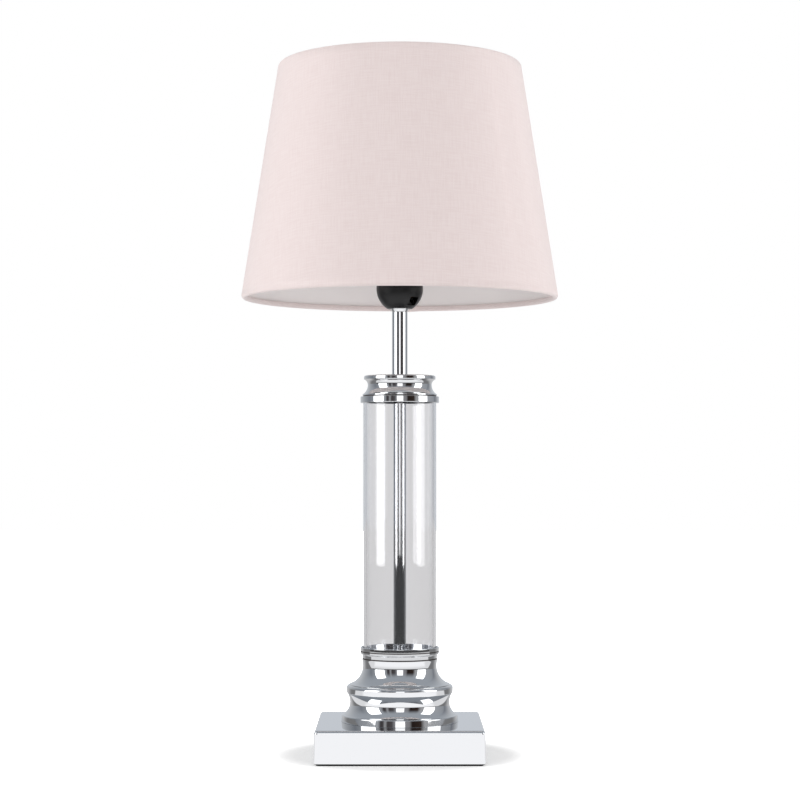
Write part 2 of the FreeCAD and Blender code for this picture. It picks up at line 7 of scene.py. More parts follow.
import bmesh
import bpy
from mathutils import Matrix, Vector, noise


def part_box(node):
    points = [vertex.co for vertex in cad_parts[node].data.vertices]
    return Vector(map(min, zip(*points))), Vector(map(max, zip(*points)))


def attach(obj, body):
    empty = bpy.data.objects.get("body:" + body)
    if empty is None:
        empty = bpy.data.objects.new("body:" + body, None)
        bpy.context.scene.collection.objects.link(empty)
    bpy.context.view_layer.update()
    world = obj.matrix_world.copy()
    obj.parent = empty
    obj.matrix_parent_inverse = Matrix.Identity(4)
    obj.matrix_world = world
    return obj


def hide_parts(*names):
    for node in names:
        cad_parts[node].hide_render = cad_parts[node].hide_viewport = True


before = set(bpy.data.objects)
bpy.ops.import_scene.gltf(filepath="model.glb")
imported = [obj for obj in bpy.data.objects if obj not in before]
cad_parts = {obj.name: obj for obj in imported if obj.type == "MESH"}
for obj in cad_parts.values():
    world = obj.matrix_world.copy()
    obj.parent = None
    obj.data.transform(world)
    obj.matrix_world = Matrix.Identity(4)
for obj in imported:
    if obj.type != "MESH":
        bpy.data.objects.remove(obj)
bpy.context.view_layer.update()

mm = 0.001
camera = {
    "lens": 93.34,
    "sensor": 36.0,
    "place": (0.2, -1638.4, 223.1),
    "tiltUp": 0.034,                 # radians above level
}


# small helpers

def fromHex(code):
    # an sRGB hex colour as linear red, green, blue and alpha
    channels = [int(code[i:i + 2], 16) / 255 for i in (1, 3, 5)]
    linear = [c / 12.92 if c <= 0.04045 else ((c + 0.055) / 1.055) ** 2.4 for c in channels]
    return (*linear, 1.0)


def connect(node, **inputs):
    # gives each input its value or its link: a node stands for its first output in use
    for name, value in inputs.items():
        slot = int(name[2:]) if name[:2] == "in" and name[2:].isdigit() else name.replace("_", " ")
        if isinstance(value, bpy.types.Node):
            value = next(output for output in value.outputs if output.enabled)
        if isinstance(value, bpy.types.NodeSocket):
            node.id_data.links.new(value, node.inputs[slot])
        else:
            node.inputs[slot].default_value = value
    return node


def addNode(tree, kind, settings=None, **inputs):
    # a shader node with its inputs and its settings, which may be the name of its operation
    node = tree.nodes.new("ShaderNode" + kind)
    if isinstance(settings, str):
        settings = {"operation": settings}
    for name, value in (settings or {}).items():
        setattr(node, name, value)
    return connect(node, **inputs)


def newMaterial(name, colour, metallic=0.0, roughness=0.5, **more):
    # a material with one Principled node, its plain values set on the node's own sockets
    material = bpy.data.materials.new(name)
    material.use_nodes = True
    tree = material.node_tree
    surface = tree.nodes["Principled BSDF"]
    connect(surface, Base_Color=fromHex(colour), Metallic=metallic, Roughness=roughness, **more)
    material.diffuse_color = fromHex(colour)
    return material, tree, surface


class Outline:
    # a half section in millimetres, walked corner by corner: radius, height and, where the corner
    # is a little rounded, how much

    def __init__(self, *corners):
        self.points = []
        self.to(*corners)

    def to(self, *corners):
        self.points += [(*corner, 0.0)[:3] for corner in corners]

    def arc(self, radius, height, centreRadius, centreHeight, steps=28):
        # the shorter arc about the centre
        startRadius, startHeight, _ = self.points[-1]
        first = math.atan2(startHeight - centreHeight, startRadius - centreRadius)
        last = math.atan2(height - centreHeight, radius - centreRadius)
        sweep = (last - first + math.pi) % (2 * math.pi) - math.pi
        size = math.hypot(radius - centreRadius, height - centreHeight)
        for step in range(1, steps):
            angle = first + sweep * step / steps
            self.points.append((centreRadius + size * math.cos(angle),
                                centreHeight + size * math.sin(angle), 0.0))
        self.to((radius, height))

    def edge(self, radius, top, size, steps):
        # a quarter round over an outer edge
        self.to((radius, top - size))
        self.arc(radius - size, top, radius - size, top - size, steps)

    def rows(self, radius, start, end, count):
        # an upright run in even rows, for a thread to be cut into
        self.to(*((radius, start + (end - start) * step / count) for step in range(count + 1)))

    def corners(self, steps=4):
        # the points with each soft corner replaced by a small curve
        result = []
        count = len(self.points)
        for index, (radius, height, soft) in enumerate(self.points):
            here = Vector((radius, height))
            if soft == 0.0:
                result.append(tuple(here))
                continue
            before = Vector(self.points[index - 1][:2]) - here
            after = Vector(self.points[(index + 1) % count][:2]) - here
            reach = min(soft, 0.45 * before.length, 0.45 * after.length)
            start = here + before.normalized() * reach
            end = here + after.normalized() * reach
            for step in range(steps + 1):
                t = step / steps
                result.append(tuple(start * (1 - t) ** 2 + here * (2 * t * (1 - t)) + end * t ** 2))
        return result


def uprightCentre(waistRadius, waistHeight, farRadius, farHeight):
    # centre of the arc that stands upright at the waist and runs out at the far point
    reach = farRadius - waistRadius
    rise = farHeight - waistHeight
    return waistRadius + (reach ** 2 + rise ** 2) / (2 * reach)


def turned(name, points, segments=192, shape=None):
    # a mesh turned from a half section; shape may move a point by its angle
    vertices = []
    rings = []
    for radius, height in points:
        ring = []
        for k in range(segments):
            angle = 2 * math.pi * k / segments
            r, z = (radius, height) if shape is None else shape(radius, height, angle)
            if radius < 1e-6 and k > 0:
                ring.append(ring[0])
                continue
            ring.append(len(vertices))
            vertices.append((r * math.cos(angle) * mm, r * math.sin(angle) * mm, z * mm))
        rings.append(ring)
    faces = []
    for lower, upper in zip(rings, rings[1:] + rings[:1]):
        for k in range(segments):
            n = (k + 1) % segments
            corners = list(dict.fromkeys((lower[k], lower[n], upper[n], upper[k])))
            if len(corners) > 2:
                faces.append(corners)
    return meshFrom(name, vertices, faces)


def finished(work, mesh):
    # writes an edited mesh back and lets go of it
    work.to_mesh(mesh)
    work.free()
    return mesh


def meshFrom(name, vertices, faces):
    mesh = bpy.data.meshes.new(name)
    mesh.from_pydata(vertices, [], faces)
    work = bmesh.new()
    work.from_mesh(mesh)
    bmesh.ops.recalc_face_normals(work, faces=work.faces)
    return finished(work, mesh)


def smooth(piece, angle=32.0):
    # smooth over the curves, sharp at the corners, and flat faces keep their own normals
    piece.data.shade_smooth()
    piece.data.set_sharp_from_angle(angle=math.radians(angle))
    normals = piece.modifiers.new("faceNormals", "WEIGHTED_NORMAL")
    normals.keep_sharp = True
    normals.weight = 100


def place(name, mesh, slot, node, body="stand", angle=32.0, finish=None):
    # puts a piece in the scene, on its body, in place of its CAD node
    piece = bpy.data.objects.new(name, mesh)
    bpy.context.scene.collection.objects.link(piece)
    mesh.materials.clear()
    mesh.materials.append(materials[finish or slot])
    smooth(piece, angle)
    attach(piece, body)
    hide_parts(node)
    return piece


def placeTurned(name, outline, segments, slot, node, shape=None, **more):
    # turns an outline and puts the piece in place of its CAD node
    return place(name, turned(name, outline.corners(), segments, shape), slot, node, **more)


def levels(node):
    # a CAD node's bottom and top in millimetres
    low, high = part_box(node)
    return low.z / mm, high.z / mm


def radiusOf(node):
    # half a CAD node's width in millimetres, which is a turned node's radius
    low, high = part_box(node)
    return (high.x - low.x) / (2 * mm)


def slabRing(halfX, halfY, corner, height, steps, centreX=0.0, centreY=0.0):
    # a rectangle with round corners, at one height
    ring = []
    for quarter, (sideX, sideY) in enumerate(((1, 1), (-1, 1), (-1, -1), (1, -1))):
        for step in range(steps + 1):
            angle = math.pi / 2 * (quarter + step / steps)
            ring.append(((centreX + sideX * (halfX - corner) + corner * math.cos(angle)) * mm,
                         (centreY + sideY * (halfY - corner) + corner * math.sin(angle)) * mm,
                         height * mm))
    return ring


def lofted(name, rings):
    # a closed mesh through rings of one count, capped at both ends
    count = len(rings[0])
    vertices = [point for ring in rings for point in ring]
    faces = []
    for level in range(len(rings) - 1):
        for k in range(count):
            n = (k + 1) % count
            faces.append((level * count + k, level * count + n,
                          (level + 1) * count + n, (level + 1) * count + k))
    faces.append(tuple(range(count)))
    faces.append(tuple(range((len(rings) - 1) * count, len(rings) * count)))
    return meshFrom(name, vertices, faces)


def swept(name, path, section):
    # a section of (across, aside) points carried along a path of (x, z) points in the XZ plane
    rings = []
    for index, (x, z) in enumerate(path):
        before = Vector(path[max(index - 1, 0)])
        after = Vector(path[min(index + 1, len(path) - 1)])
        way = (after - before).normalized()
        rings.append([((x - way.y * across) * mm, aside * mm, (z + way.x * across) * mm)
                      for across, aside in section])
    return lofted(name, rings)


def roundSection(radius, sides=20):
    return [(radius * math.cos(2 * math.pi * k / sides), radius * math.sin(2 * math.pi * k / sides))
            for k in range(sides)]


def bentPath(points, radius, steps=10):
    # a path of (x, z) points with its inner corners bent to a radius
    path = [points[0]]
    for before, corner, after in zip(points, points[1:], points[2:]):
        here = Vector(corner)
        first = (Vector(before) - here).normalized()
        last = (Vector(after) - here).normalized()
        half = first.angle(last) / 2
        back = radius / math.tan(half)
        centre = here + (first + last).normalized() * radius / math.sin(half)
        start = here + first * back - centre
        end = here + last * back - centre
        for step in range(steps + 1):
            t = step / steps
            between = start.lerp(end, t).normalized() * radius
            path.append(tuple(centre + between))
    return path + [points[-1]]


def aimed(mesh, spot, way):
    # a mesh turned about Z, moved so that its axis starts at the spot and points along the way
    turn = Vector(way).to_track_quat("Z", "Y").to_matrix().to_4x4()
    mesh.transform(Matrix.Translation([value * mm for value in spot]) @ turn)
    return mesh


def joined(name, meshes):
    # several meshes as one
    work = bmesh.new()
    for mesh in meshes:
        work.from_mesh(mesh)
    return finished(work, bpy.data.meshes.new(name))


def weldBead(centre, size, seed):
    # a small lumpy bead of weld, left under the paint
    work = bmesh.new()
    bmesh.ops.create_icosphere(work, subdivisions=3, radius=1.0)
    for vertex in work.verts:
        lump = 1 + 0.12 * noise.noise(vertex.co * 1.7 + Vector((seed, 0, 0)))
        vertex.co = Vector([c + v * s * lump for c, v, s in zip(centre, vertex.co, size)]) * mm
    return finished(work, bpy.data.meshes.new("weldBead"))


def blockMesh(low, high):
    # a cutter between two corners
    section = ((low[0], low[1]), (high[0], low[1]), (high[0], high[1]), (low[0], high[1]))
    return lofted("cutter", [[(x * mm, y * mm, z * mm) for x, y in section] for z in (low[2], high[2])])


def drill(radius, low, high, segments=32):
    # a round cutter along Z
    return turned("cutter", [(0.0, low), (radius, low), (radius, high), (0.0, high)], segments)


def cut(mesh, cutter):
    # the mesh with the cutter's shape taken out of it
    body = bpy.data.objects.new("cutBody", mesh)
    tool = bpy.data.objects.new("cutTool", cutter)
    bpy.context.scene.collection.objects.link(body)
    bpy.context.scene.collection.objects.link(tool)
    change = body.modifiers.new("cut", "BOOLEAN")
    change.operation = "DIFFERENCE"
    change.solver = "EXACT"
    change.object = tool
    bpy.context.view_layer.update()
    ready = body.evaluated_get(bpy.context.evaluated_depsgraph_get())
    result = bpy.data.meshes.new_from_object(ready)
    bpy.data.objects.remove(body)
    bpy.data.objects.remove(tool)
    return result


# materials

oneBand = 0.314                      # a wave texture's scale that gives it one band to the metre


def layered(name, colour, *layers, **more):
    # a material of textures in object space. A layer is a noise with grains of so many mm, or
    # turned lines that far apart. It drives tones, gloss (the roughness from and to) or relief
    # (strength, and depth in mm), over the part of its range that between gives
    material, tree, surface = newMaterial(name, colour, **more)
    where = addNode(tree, "TexCoord").outputs["Object"]
    for layer in layers:
        if "lines" in layer:
            texture = addNode(tree, "TexWave", {"bands_direction": "Z"}, Vector=where,
                              Scale=oneBand / (layer["lines"] * mm),
                              Distortion=layer["waver"]).outputs["Fac"]
        else:
            spot = where
            if "stretch" in layer:
                spot = addNode(tree, "Mapping", Vector=where, Scale=layer["stretch"])
            texture = addNode(tree, "TexNoise", Vector=spot, Scale=1 / (layer["grain"] * mm),
                              Detail=layer["detail"], Roughness=layer.get("fine", 0.5)).outputs["Fac"]
        first, last = layer.get("between", (0.0, 1.0))
        if "tones" in layer:
            share = texture
            if "between" in layer:
                share = addNode(tree, "MapRange", Value=texture, From_Min=first, From_Max=last)
            pale, dark = layer["tones"]
            tone = addNode(tree, "Mix", {"data_type": "RGBA"}, in0=share, in6=fromHex(pale),
                           in7=fromHex(dark))
            connect(surface, Base_Color=tone)
        if "gloss" in layer:
            least, most = layer["gloss"]
            gloss = addNode(tree, "MapRange", Value=texture, From_Min=first, From_Max=last, To_Min=least,
                            To_Max=most)
            connect(surface, Roughness=gloss)
        if "relief" in layer:
            strength, depth = layer["relief"]
            bump = addNode(tree, "Bump", Height=texture, Strength=strength, Distance=depth * mm)
            connect(surface, Normal=bump)
    return material


def zincPlate(name, colour):
    # turned steel with a bright zinc coat: silvery, cloudy where the passivation is thicker
    return layered(name, colour, {"grain": 4.0, "detail": 4.0, "gloss": (0.22, 0.42)},
                   {"lines": 0.25, "waver": 0.6, "relief": (0.15, 0.02)}, metallic=1.0, roughness=0.32)


def softMetal(name, colour, roughness, lines):
    # bare copper alloy, turned or rolled: fine tool lines and a thin uneven tarnish
    return layered(name, colour,
                   {"grain": 3.0, "detail": 5.0, "gloss": (roughness - 0.08, roughness + 0.12)},
                   {"lines": lines, "waver": 1.0, "relief": (0.12, 0.02)},
                   metallic=1.0, roughness=roughness)


clothWeave = {
    "coneSine": 0.1515,              # sine of the shade's half angle, for laying the cloth flat
    "thread": 0.55,                  # mm from thread to thread; the real cloth is a little finer
    "slubLength": 16.0,
    "slubWidth": 0.9,
    "pale": "#EFE1DF",
    "middle": "#EADAD8",
    # painted shade: the deep tone goes in the gaps between the threads
    "deep": "#DCC7C5",               # in the gaps between the threads
    "gapShadeShare": 0.13,
    "relief": (0.15, 0.12),          # strength, and depth in mm
}


def slubCloth():
    # plain woven slub polyester in dusty pink: uneven threads both ways, matt, a soft fuzz
    weave = clothWeave
    material, tree, surface = newMaterial("slubCloth", weave["middle"], roughness=0.88,
                                          Sheen_Weight=0.35, Sheen_Roughness=0.6)
    where = addNode(tree, "TexCoord")
    split = addNode(tree, "SeparateXYZ", Vector=where.outputs["Object"])
    ahead = addNode(tree, "Math", "MULTIPLY", in0=split.outputs["Y"], in1=-1.0)
    turn = addNode(tree, "Math", "ARCTAN2", in0=split.outputs["X"], in1=ahead)
    flatTurn = addNode(tree, "Math", "MULTIPLY", in0=turn, in1=weave["coneSine"])
    level = addNode(tree, "CombineXYZ", X=split.outputs["X"], Y=split.outputs["Y"])
    reach = addNode(tree, "VectorMath", "LENGTH", in0=level)
    flatReach = addNode(tree, "Math", "DIVIDE", in0=reach, in1=weave["coneSine"])
    sine = addNode(tree, "Math", "SINE", in0=flatTurn)
    cosine = addNode(tree, "Math", "COSINE", in0=flatTurn)
    across = addNode(tree, "Math", "MULTIPLY", in0=flatReach, in1=sine)
    along = addNode(tree, "Math", "MULTIPLY", in0=flatReach, in1=cosine)
    flat = addNode(tree, "CombineXYZ", X=across, Y=along)
    thread = oneBand / (weave["thread"] * mm)
    wide = 1 / (weave["slubWidth"] * mm)
    long = 1 / (weave["slubLength"] * mm)
    threads, slubs = [], []
    for axis, grain in (("X", (wide, long, 1.0)), ("Y", (long, wide, 1.0))):
        threads.append(addNode(tree, "TexWave", {"bands_direction": axis}, Vector=flat, Scale=thread,
                               Distortion=2.0, Detail=2.0, Detail_Scale=0.6).outputs["Fac"])
        run = addNode(tree, "Mapping", Vector=flat, Scale=grain)
        slubs.append(addNode(tree, "TexNoise", Vector=run, Scale=1.0, Detail=2.0))
    grid = addNode(tree, "Math", "MAXIMUM", in0=threads[0], in1=threads[1])
    slub = addNode(tree, "Math", "ADD", in0=slubs[0], in1=slubs[1])
    dark = addNode(tree, "MapRange", Value=slub, From_Min=0.80, From_Max=1.25)
    tone = addNode(tree, "Mix", {"data_type": "RGBA"}, in0=dark, in6=fromHex(weave["pale"]),
                   in7=fromHex(weave["middle"]))
    # painted shade: the colour moves towards the deep tone in the gaps between the threads
    gaps = addNode(tree, "MapRange", Value=grid, From_Min=0.35, From_Max=0.9, To_Min=weave["gapShadeShare"],
                   To_Max=0.0)
    colour = addNode(tree, "Mix", {"data_type": "RGBA"}, in0=gaps, in6=tone, in7=fromHex(weave["deep"]))
    height = addNode(tree, "Math", "MULTIPLY_ADD", in0=slub, in1=0.8, in2=grid)
    strength, depth = weave["relief"]
    bump = addNode(tree, "Bump", Height=height, Strength=strength, Distance=depth * mm)
    connect(surface, Base_Color=colour, Normal=bump)
    return material


# each goes by its record slot, and the two that a slot doesn't cover by a name of their own
materials = {
    # bright chromium over nickel, polished before plating: a near mirror, slightly blue, with faint
    # wipe marks in its gloss and a hardly visible ripple left by the polishing mop
    "chrome": layered("chromePlate", "#D9DADB",
                      {"grain": 55.0, "detail": 4.0, "fine": 0.55, "between": (0.35, 0.75),
                       "gloss": (0.025, 0.06)},
                      {"grain": 9.0, "detail": 1.0, "relief": (0.05, 0.02)},
                      metallic=1.0, roughness=0.035),
    # painted shade for the turned grooves: a dark, dull brown-grey, so that each groove reads as a dark
    # line
    "grooveShade": layered("paintedGrooveShade", "#2B2523",
                       {"grain": 1.2, "detail": 4.0, "tones": ("#1D1917", "#3D3531"),
                        "relief": (0.3, 0.05)}, roughness=0.8),
    # drawn soda-lime tube: clear, hardly tinted through its thickness, fire polished
    "glass": layered("sodaLimeGlass", "#FCFCFD",
                     {"grain": 14.0, "detail": 1.0, "stretch": (1.0, 1.0, 0.05), "relief": (0.04, 0.05)},
                     roughness=0.0, Transmission_Weight=1.0, IOR=1.52),
    # moulded phenolic for lampholders: black, satin, with the mould's fine spark texture
    "holder_plastic": layered("phenolicBlack", "#0D0D0E",
                              {"grain": 0.5, "detail": 3.0, "gloss": (0.30, 0.44),
                               "relief": (0.12, 0.04)}, roughness=0.36, Specular_IOR_Level=0.35),
    # pressed wool felt dyed black: quite matt, with short fibres that catch a little light
    "felt": layered("woolFelt", "#131313",
                    {"grain": 0.8, "detail": 6.0, "fine": 0.7, "tones": ("#0B0B0B", "#201F1F"),
                     "relief": (0.6, 0.25)}, roughness=0.95, Sheen_Weight=0.2),
    # sand-cast grey iron, left as cast: dark, grainy, a little rust-brown in the hollows
    "iron": layered("castIron", "#46464A",
                    {"grain": 1.4, "detail": 8.0, "fine": 0.65, "tones": ("#3C342F", "#55555A"),
                     "relief": (0.7, 0.3)}, metallic=1.0, roughness=0.68),
    "zinc_steel": zincPlate("zincPlate", "#B7B9B5"),
    # the zinc plate darkened to near black for the lock screw, so that the dome's window stays dark:
    # painted shade
    "windowShadeSteel": zincPlate("paintedShadeSteel", "#2A2A2C"),
    # black rubber from a steel mould: dull, with a slight bloom
    "grommet_rubber": layered("mouldedRubber", "#171717",
                              {"grain": 1.6, "detail": 5.0, "tones": ("#101010", "#232323"),
                               "relief": (0.2, 0.05)}, roughness=0.6),
    # die-cut translucent silicone sheet: milky, satin on its cut edges
    "clear_gasket": layered("clearSilicone", "#E8ECEC",
                            {"grain": 0.9, "detail": 3.0, "gloss": (0.25, 0.5)},
                            roughness=0.35, IOR=1.41, Transmission_Weight=0.6),
    # dry-pressed porcelain without glaze: warm white, chalky, with a few dark specks
    "porcelain": layered("barePorcelain", "#DFDBD2",
                         {"grain": 0.5, "detail": 6.0, "fine": 0.6, "between": (0.66, 0.72),
                          "tones": ("#DFDBD2", "#B4ADA0"), "relief": (0.2, 0.06)}, roughness=0.62),
    # the brass's colour is darkened so that it stays dark through the dome's window: painted shade
    "brass": softMetal("turnedBrass", "#6B5836", 0.4, 0.2),
    "bronze": softMetal("springBronze", "#B88A5C", 0.3, 0.35),
    "nickel_shell": softMetal("pressedNickel", "#C8C5BE", 0.2, 0.5),
    # white polyester powder, stoved on wire: soft gloss and a fine orange peel
    "wire_white": layered("whitePowderCoat", "#E9E8E4",
                          {"grain": 1.1, "detail": 2.0, "gloss": (0.34, 0.5), "relief": (0.25, 0.08)},
                          roughness=0.42),
    "shade_fabric": slubCloth(),
    # white styrene sheet glued behind the cloth: smooth, satin, and tinted a touch warm as painted light,
    # for the pink light that comes through and off the cloth
    "shade_liner": layered("styreneLaminate", "#FDF8F7",
                           {"grain": 30.0, "detail": 3.0, "gloss": (0.42, 0.58)},
                           {"grain": 0.8, "detail": 2.0, "relief": (0.06, 0.05)}, roughness=0.5),
}
print("materials ready")


# foot

footSizes = {
    "corner": 2.8,
    "edge": 2.7,
    "wall": 2.0,
    "lowerBreak": 0.4,               # the pressed edge at the bottom is slightly broken
    "cornerSteps": 10,
    "edgeSteps": 10,
    "cableHole": 5.0,
    "cableHeight": 11.0,
}


def makeFoot():
    # the pressed foot: a rolled edge round the top, thin walls, open below, cable hole behind
    bottom, top = levels("base_plate")
    half = radiusOf("base_plate")
    sizes = footSizes
    steps = sizes["cornerSteps"]
    inner = half - sizes["wall"]
    innerCorner = max(sizes["corner"] - sizes["wall"], 0.3)
    lower = half - sizes["lowerBreak"]
    rings = [slabRing(inner, inner, innerCorner, top - sizes["wall"], steps),
             slabRing(inner, inner, innerCorner, bottom, steps),
             slabRing(lower, lower, sizes["corner"] - sizes["lowerBreak"], bottom, steps),
             slabRing(half, half, sizes["corner"], bottom + sizes["lowerBreak"], steps)]
    edge = sizes["edge"]
    for step in range(sizes["edgeSteps"] + 1):
        angle = math.pi / 2 * step / sizes["edgeSteps"]
        inset = edge * (1 - math.cos(angle))
        rings.append(slabRing(half - inset, half - inset, max(sizes["corner"] - inset, 0.05),
                              top - edge + edge * math.sin(angle), steps))
    hole = drill(sizes["cableHole"], -6.0, 6.0, 48)
    aimed(hole, (0.0, half, sizes["cableHeight"]), (0, 1, 0))
    shell = cut(lofted("footShell", rings), hole)
    place("footShell", shell, "chrome", "base_plate")


feltSizes = {"corner": 2.8, "round": 0.35, "fuzz": 0.1, "fuzzGrain": 1.5, "cornerSteps": 10, "cuts": 60}


def makeFelt():
    # the pad under the foot: its cut edge is soft and slightly ragged
    sizes = feltSizes
    bottom, top = levels("felt_pad")
    half = radiusOf("felt_pad")
    inset = sizes["round"]
    levelsUp = ((inset, bottom), (0.0, bottom + inset), (0.0, top - inset), (inset, top))
    rings = [slabRing(half - back, half - back, sizes["corner"] - back, height, sizes["cornerSteps"])
             for back, height in levelsUp]
    mesh = lofted("feltPad", rings)
    work = bmesh.new()
    work.from_mesh(mesh)
    sides = [edge for edge in work.edges if edge.calc_length() > 20 * mm]
    bmesh.ops.subdivide_edges(work, edges=sides, cuts=sizes["cuts"])
    for vertex in work.verts:
        if bottom < vertex.co.z / mm < top:
            ragged = noise.noise(vertex.co / (sizes["fuzzGrain"] * mm)) * sizes["fuzz"]
            vertex.co.x *= 1 + (ragged - sizes["fuzz"]) / half
            vertex.co.y *= 1 + (ragged - sizes["fuzz"]) / half
    place("feltPad", finished(work, mesh), "felt", "felt_pad")


grommetSizes = {
    "hole": 5.0,
    "flange": 6.5,
    "flangeThickness": 1.4,
    "bore": 3.2,
    "wall": 2.0,
    "height": 11.0,
}


def makeGrommet():
    # the rubber ring in the back wall, with a rounded lip on both sides
    sizes = grommetSizes
    thick = sizes["flangeThickness"]
    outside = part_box("base_plate")[1].y / mm
    outline = Outline((sizes["bore"], -sizes["wall"] - thick, 0.5),
                      (sizes["flange"], -sizes["wall"] - thick, 0.6), (sizes["flange"], -sizes["wall"]),
                      (sizes["hole"], -sizes["wall"]), (sizes["hole"], 0.0), (sizes["flange"], 0.0, 0.2),
                      (sizes["flange"], thick, 0.9), (sizes["bore"], thick, 0.7))
    mesh = turned("cableGrommet", outline.corners(6), 64)
    aimed(mesh, (0.0, outside, sizes["height"]), (0, 1, 0))
    place("cableGrommet", mesh, "grommet_rubber", "cable_grommet")


def dressNode(node, material):
    # a CAD node that keeps its shape and gets a finished material
    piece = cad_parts[node]
    piece.data.materials.clear()
    piece.data.materials.append(materials[material])


makeFoot()
makeFelt()
makeGrommet()
dressNode("base_weight", "iron")
for steelNode in ("base_washer", "lock_washer", "base_nut"):
    dressNode(steelNode, "zinc_steel")
print("foot ready")


# column

lowerSizes = {
    "footHeight": 5.6,
    "footEdge": 1.0,
    "footTaper": 0.4,                # the disc's edge leans in by this much
    "coveFoot": 44.4,
    "waist": 39.2,
    "waistHeight": 15.0,
    "coveTop": 41.7,
    "coveTopHeight": 22.7,
    "rim": 41.9,
    "rimEdge": 2.4,
    "inside": 36.6,
    "plate": 3.0,
    "registerHeight": 1.5,
    "register": 26.45,
    "rodHole": 5.1,
}
upperSizes = {
    "land": 0.5,
    "neck": 29.15,
    "neckHeight": 14.5,
    "swell": 0.45,
    "swellHeight": 5.0,
    "undercut": 0.5,
    "quirk": 0.45,                   # a narrow turned groove under the cup
    "quirkHeight": 3.4,
    "quirkWidth": 0.95,
    "cupDepth": 5.5,
    "cup": 31.0,
    "cupBore": 29.0,
    "cupMouth": 29.9,                # the bore opens a little towards its mouth
    "cupEdge": 0.5,
    "line": 2.9,                     # below the cup's top, a fine turned line
    "lineWidth": 0.8,
    "lineDepth": 0.3,
    "inside": 26.55,
    "plate": 3.0,
}
glassSizes = {"wall": 2.5, "polish": 0.5}
capSizes = {
    "seatDepth": 4.1,
    "band": 4.9,
    "edge": 0.5,
    "groove": 0.8,
    "grooveDepth": 1.4,
    "flareInset": 1.6,
    "flareLand": 1.0,
    "waist": 25.25,
    "waistHeight": 14.2,
    "lip": 28.25,
    "lipHeight": 2.9,
    "lipEdge": 1.2,
    "hollow": 20.95,
    "topThickness": 4.0,
}


def paintGrooveShade(piece, inner, outer, low, high):
    # the faces in a turned groove get a dark, dull colour: painted shade, so that each groove reads as a
    # line
    piece.data.materials.append(materials["grooveShade"])
    for face in piece.data.polygons:
        radius = math.hypot(face.center.x, face.center.y) / mm
        if inner < radius < outer and low < face.center.z / mm < high:
            face.material_index = len(piece.data.materials) - 1


def makeLowerPedestal():
    sizes = lowerSizes
    bottom, registerTop = levels("lower_pedestal")
    foot = radiusOf("lower_pedestal")
    top = registerTop - sizes["registerHeight"]
    footTop = bottom + sizes["footHeight"]
    waist = bottom + sizes["waistHeight"]
    coveTop = bottom + sizes["coveTopHeight"]
    lowerCentre = uprightCentre(sizes["waist"], waist, sizes["coveFoot"], footTop)
    upperCentre = uprightCentre(sizes["waist"], waist, sizes["coveTop"], coveTop)
    outline = Outline((sizes["inside"], bottom), (foot, bottom, 0.25))
    outline.edge(foot - sizes["footTaper"], footTop, sizes["footEdge"], 6)
    outline.to((sizes["coveFoot"], footTop))
    outline.arc(sizes["waist"], waist, lowerCentre, waist)
    outline.arc(sizes["coveTop"], coveTop, upperCentre, waist)
    outline.points[-1] = (sizes["coveTop"], coveTop, 0.3)
    outline.edge(sizes["rim"], top, sizes["rimEdge"], 12)
    outline.to((sizes["register"], top), (sizes["register"], registerTop, 0.2),
               (sizes["rodHole"], registerTop), (sizes["rodHole"], top - sizes["plate"]),
               (sizes["inside"], top - sizes["plate"]))
    placeTurned("lowerPedestal", outline, 256, "chrome", "lower_pedestal")


def makeUpperPedestal():
    sizes = upperSizes
    bottom, top = levels("upper_pedestal")
    foot = lowerSizes["rim"] - lowerSizes["rimEdge"]
    floor = top - sizes["cupDepth"]
    land = bottom + sizes["land"]
    neckLevel = bottom + sizes["neckHeight"]
    swellLevel = neckLevel + sizes["swellHeight"]
    swollen = sizes["neck"] + sizes["swell"]
    centre = uprightCentre(sizes["neck"], neckLevel, foot, land)
    swell = uprightCentre(sizes["neck"], neckLevel, swollen, swellLevel)
    outline = Outline((sizes["inside"], bottom), (foot, bottom), (foot, land, 0.15))
    outline.arc(sizes["neck"], neckLevel, centre, neckLevel, 40)
    outline.arc(swollen, swellLevel, swell, neckLevel, 8)
    quirk = swollen - sizes["quirk"]
    quirkLevel = floor - sizes["undercut"] - sizes["quirkHeight"]
    quirkTop = quirkLevel + sizes["quirkWidth"]
    outline.to((swollen, quirkLevel), (quirk, quirkLevel + 0.05), (quirk, quirkTop - 0.05),
               (swollen - 0.1, quirkTop), (swollen - 0.1, floor - sizes["undercut"], 0.2),
               (sizes["cup"] - sizes["cupEdge"], floor, 0.15),
               (sizes["cup"], floor + sizes["cupEdge"], 0.15))
    lineTop = top - sizes["line"]
    lineRadius = sizes["cup"] - sizes["lineDepth"]
    outline.to((sizes["cup"], lineTop - sizes["lineWidth"]),
               (lineRadius, lineTop - 0.7 * sizes["lineWidth"]),
               (lineRadius, lineTop - 0.3 * sizes["lineWidth"]), (sizes["cup"], lineTop))
    outline.edge(sizes["cup"], top, sizes["cupEdge"], 5)
    outline.to((sizes["cupMouth"], top, 0.2), (sizes["cupBore"], floor), (lowerSizes["rodHole"], floor),
               (lowerSizes["rodHole"], floor - sizes["plate"]),
               (sizes["inside"], floor - sizes["plate"]))
    piece = placeTurned("upperPedestal", outline, 256, "chrome", "upper_pedestal")
    paintGrooveShade(piece, lineRadius - 0.02, sizes["cup"] - 0.02, lineTop - sizes["lineWidth"], lineTop)
    paintGrooveShade(piece, quirk - 0.02, swollen - 0.01, quirkLevel, quirkTop)


def makeGlass():
    bottom, top = levels("glass_tube")
    outer = radiusOf("glass_tube")
    bore = outer - glassSizes["wall"]
    polish = glassSizes["polish"]
    outline = Outline((bore, bottom, polish), (outer, bottom, polish), (outer, top, polish),
                      (bore, top, polish))
    placeTurned("glassColumn", outline, 256, "glass", "glass_tube", angle=60)


